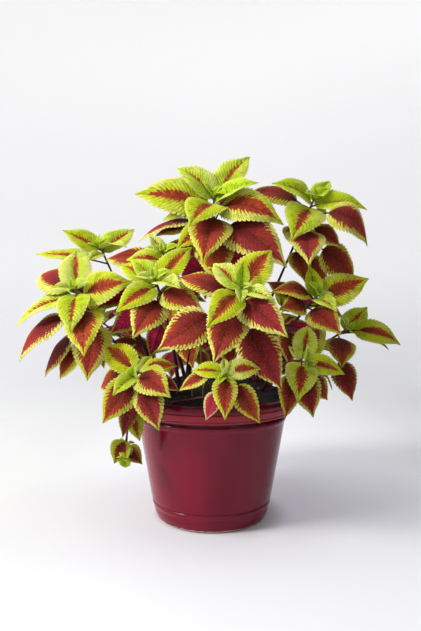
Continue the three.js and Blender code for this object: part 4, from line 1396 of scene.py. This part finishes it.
def make_shoot(stem, leaves, finishes, grown, seed):
    """One shoot: its blades as a mesh, joined by the tree in grown to its stem, stalks and hairs."""
    rng = np.random.default_rng(seed)
    shoot_shade_and_withering = PAINTED_SHADE_AND_WITHERING.get(stem.name, 0.0)
    younger = YOUNGER.get(stem.name, 0.0)
    skin, skeleton = Skin(), Skeleton()
    skeleton.add_stem(stem, [leaf.node for leaf in leaves])
    for leaf in leaves:
        leaf.stalk *= aged(STALK_LEFT, leaf.age)
    for row, leaf in enumerate([*leaves, *bud_leaves(stem, rng)]):
        # painted shade: the dark layer is larger on shaded shoots and on old leaves low in the plant; on the
        # hanging shoot it also stands for withering
        shade = shoot_shade_and_withering * (0.3 + 0.7 * min(1.0, leaf.age / OLD_AGE))
        if leaf.age > OLD_AGE:
            shade += PAINTED_SHADE_PER_STEP * max(0.0, (LOW_LEAVES - leaf.middle[2]) / DARKER_STEP)
        looks = {
            "age": leaf.age - younger * (leaf.age > 0.1),
            "tone": OWN_TONES.get((stem.name, row), rng.uniform()),
            "dark": min(shade, DARKEST) + rng.uniform(0, 0.1),
        }
        skin.add_blade(leaf, looks, rng)
        skeleton.add_stalk(leaf)
    for root, knee, row in BARE_STALKS.get(stem.name, ()):
        skeleton.add_bare_stalk(root, knee, leaves[row], rng.uniform(0.3, 0.8))
    lines = link(f"{stem.name}_lines", skeleton.mesh("lines"))
    shoot = link(f"{stem.name}_shoot", skin.mesh("blades"))
    shoot.data.materials.append(finishes["leaf"])
    values = {
        "Skeleton": lines,
        "Sides": STEM_SIDES,
        "Hairs per m2": HAIRS_PER_M2,
        "Hair length": HAIR_LENGTH * MM,
        "Seed": seed,
        "Stem finish": finishes["stem"],
        "Hair finish": finishes["hair"],
    }
    settle(shoot, use_tree(shoot, *grown, values))
    bpy.data.objects.remove(lines)
    keep(shoot, f"shoot_{stem.name}")


# ---------- pot and soil ----------
def rounded(profile, size):
    """The profile with each corner between two of its stretches turned into a small round."""
    points = [np.array(p, float) for p in profile]
    out = [points[0]]
    for before, corner, after in zip(points, points[1:], points[2:]):
        low = min(size, CORNER_SHARE * np.linalg.norm(corner - before))
        high = min(size, CORNER_SHARE * np.linalg.norm(after - corner))
        a = corner + unit(before - corner) * low
        b = corner + unit(after - corner) * high
        out += [bent_line(a, corner, b, t) for t in np.linspace(0, 1, CORNER_POINTS)]
    out.append(points[-1])
    return out


def turned(name, profile, sides, wobble=0.0):
    """A body turned round the Z axis from a profile that starts and ends on it."""
    mesh = bmesh.new()
    rings = []
    for radius, z in profile:
        if radius < 1e-6:
            rings.append([mesh.verts.new((0, 0, z * MM))])
            continue
        ring = []
        for side in range(sides):
            angle = 2 * math.pi * side / sides
            out = Vector((math.cos(angle), math.sin(angle), 0))
            uneven = noise.noise(Vector((out.x * 1.3, out.y * 1.3, z * 0.012))) * wobble
            ring.append(mesh.verts.new(out * (radius + uneven) * MM + Vector((0, 0, z * MM))))
        rings.append(ring)
    for low, high in zip(rings, rings[1:]):
        for side in range(sides):
            after = (side + 1) % sides
            around = ((low, side), (low, after), (high, after), (high, side))
            corners = [ring[place % len(ring)] for ring, place in around]
            mesh.faces.new(list(dict.fromkeys(corners)))
    for face in mesh.faces:
        face.smooth = True
    data = bpy.data.meshes.new(name)
    mesh.to_mesh(data)
    mesh.free()
    return data


def make_pot(finish):
    profile = rounded([*POT_OUTSIDE, *POT_INSIDE, (0, FLOOR)], ROUNDING)
    mesh = turned("pot", profile, POT_SIDES, wobble=POT_WOBBLE)
    mesh.materials.append(finish)
    keep(link("glazed_pot", mesh), "pot")


def soil_profile():
    """The soil's outline, a little clear of the pot's wall and floor, with a mound on top."""
    wall = [(r - PIECE_GAP, z + PIECE_GAP) for r, z in reversed(POT_INSIDE[1:])]
    radii = np.linspace(SOIL_RADIUS, 0, SOIL_RINGS)
    return [(0, FLOOR + PIECE_GAP), *wall, *[(r, float(soil_height(r))) for r in radii]]


def make_soil(finish):
    mesh = turned("soil", soil_profile(), SOIL_SIDES)
    for vertex in mesh.vertices:
        if vertex.co.z > (SOIL_EDGE + 0.2) * MM:
            lumps = noise.fractal(vertex.co * 70, 0.9, 2.1, 4) * 2.2 + noise.noise(vertex.co * 260) * 0.9
            inward = SOIL_RADIUS - math.hypot(vertex.co.x, vertex.co.y) / MM
            vertex.co.z += lumps * MM * min(1, inward / LEVEL_EDGE)
    mesh.materials.append(finish)
    soil = link("potting_mix", mesh)
    keep(soil, "soil")
    return soil


def crumb_tree():
    """Crumbs strewn over the top of the soil, of one size and flatness for each use."""
    g, wires, identifiers = geometry_tree(
        "strewn_crumbs",
        {"Per m2": "Float", "Size": "Float", "Flatness": "Vector", "Seed": "Int", "Finish": "Material"},
    )
    seed = wires["Seed"]
    height = g.height(g.value("GeometryNodeInputPosition"))
    on_top = g.math("GREATER_THAN", height, (SOIL_EDGE + 1.5) * MM)
    strewn = {"Mesh": wires["Geometry"], "Selection": on_top, "Density": wires["Per m2"], "Seed": seed}
    spots = g.value("GeometryNodeDistributePointsOnFaces", strewn, output="Points")
    ball = g.value("GeometryNodeMeshIcoSphere", {"Radius": wires["Size"], "Subdivisions": 1})
    turns = {0: (-0.5, -0.5, 0.0), 1: (0.5, 0.5, 6.28), "Seed": seed}
    turn = g.value("FunctionNodeRandomValue", turns, data_type="FLOAT_VECTOR")
    sizes = {0: wires["Flatness"], "Scale": g.random(0.45, 1.3, seed)}
    scale = g.value("ShaderNodeVectorMath", sizes, operation="SCALE")
    placed = {"Points": spots, "Instance": ball, "Rotation": turn, "Scale": scale}
    crumbs = g.value("GeometryNodeInstanceOnPoints", placed)
    toned = g.stored(crumbs, "tone", g.random(0.0, 1.0, TONE_SEED), domain="INSTANCE")
    whole = g.value("GeometryNodeRealizeInstances", {"Geometry": toned})
    clad = g.value("GeometryNodeSetMaterial", {"Geometry": whole, "Material": wires["Finish"]})
    g.node("NodeGroupOutput", {0: clad})
    return g.tree, identifiers


def make_crumbs(soil, finishes):
    grown = crumb_tree()
    for name, (density, size, flatness, seed, finish) in CRUMBS.items():
        crumbs = link(name, soil.data.copy())
        values = {
            "Per m2": density,
            "Size": size * MM,
            "Flatness": flatness,
            "Seed": seed,
            "Finish": finishes[finish],
        }
        settle(crumbs, use_tree(crumbs, *grown, values))
        keep(crumbs, None)


# ---------- stage, light and camera ----------
def make_stage():
    """A pale round sweep: a floor that turns up into a wall all round."""
    profile = [(0, -STAGE_DROP)]
    for t in np.linspace(0, math.pi / 2, STAGE_ROWS):
        z = STAGE_TURN * (1 - math.cos(t)) - STAGE_DROP
        profile.append((STAGE_FLAT + STAGE_TURN * math.sin(t), z))
    profile.append((STAGE_FLAT + STAGE_TURN, STAGE_TOP - STAGE_DROP))
    mesh = turned("sweep", profile, STAGE_SIDES)
    sweep = link("pale_sweep", mesh)
    mesh.materials.append(finish_material("sweep_paper", sweep_finish))
    sweep.visible_shadow = False


def make_flag():
    """A dark board on the side away from the window, out of sight, that deepens the shaded side."""
    near, far = FLAG_DEPTHS
    places = ((near, 0.0), (far, 0.0), (far, FLAG_HEIGHT), (near, FLAG_HEIGHT))
    mesh = bpy.data.meshes.new("flag")
    mesh.from_pydata([(FLAG_ASIDE, y, z) for y, z in places], [], [(0, 1, 2, 3)])
    mesh.materials.append(finish_material("flag_cloth", flag_finish))
    flag = link("dark_flag", mesh)
    flag.visible_camera = flag.visible_shadow = False


def add_softbox(name, place, size, watts, colour):
    """A square lamp that looks at the middle of the plant."""
    lamp = bpy.data.lights.new(name, "AREA")
    lamp.shape = "RECTANGLE"
    lamp.size = lamp.size_y = size
    lamp.energy = watts
    lamp.color = colour
    thing = link(name, lamp)
    thing.location = place
    ahead = Vector(LIT_PLACE) - Vector(place)
    thing.rotation_euler = ahead.to_track_quat("-Z", "Y").to_euler()


def light_scene():
    world = bpy.data.worlds.new("studio")
    bpy.context.scene.world = world
    world.use_nodes = True
    back = world.node_tree.nodes["Background"]
    back.inputs["Color"].default_value = STUDIO_COLOUR
    back.inputs["Strength"].default_value = STUDIO_STRENGTH
    for name, softbox in SOFTBOXES.items():
        add_softbox(name, *softbox)
    bpy.context.scene.view_settings.view_transform = "Standard"


def set_camera():
    """An eye in front of the pot that looks level, a little above its middle."""
    data = bpy.data.cameras.new("eye")
    data.lens = LENS
    data.sensor_width = SENSOR_WIDTH
    data.shift_y = SHIFT_UP
    data.clip_start = NEAREST_SEEN
    camera = link("eye", data)
    camera.location = (EYE_ASIDE * MM, -EYE_DEPTH * MM, EYE_HEIGHT * MM)
    camera.rotation_euler = (math.pi / 2, 0, 0)
    bpy.context.scene.camera = camera


def build():
    set_camera()
    light_scene()
    make_stage()
    make_flag()
    finishes = {
        "leaf": finish_material("coleus_leaf", leaf_finish),
        "stem": finish_material("coleus_stem", stem_finish),
        "hair": finish_material("stem_hair", hair_finish),
        "crumb": finish_material("soil_crumb", crumb_finish(*SOIL_CRUMBS_AND_SHADE)),
        "bark": finish_material("bark_flake", crumb_finish(*BARK)),
        "perlite": finish_material("perlite_grain", crumb_finish(*PERLITE)),
    }
    make_pot(finish_material("red_glaze", glaze_finish))
    soil = make_soil(finish_material("potting_soil", soil_finish))
    make_crumbs(soil, finishes)
    grown = shoot_tree()
    stems, leaves = grow_plant()
    for index, stem in enumerate(stems):
        own = [leaf for leaf in leaves if leaf.stem is stem]
        make_shoot(stem, own, finishes, grown, FIRST_SEED + index)


build()
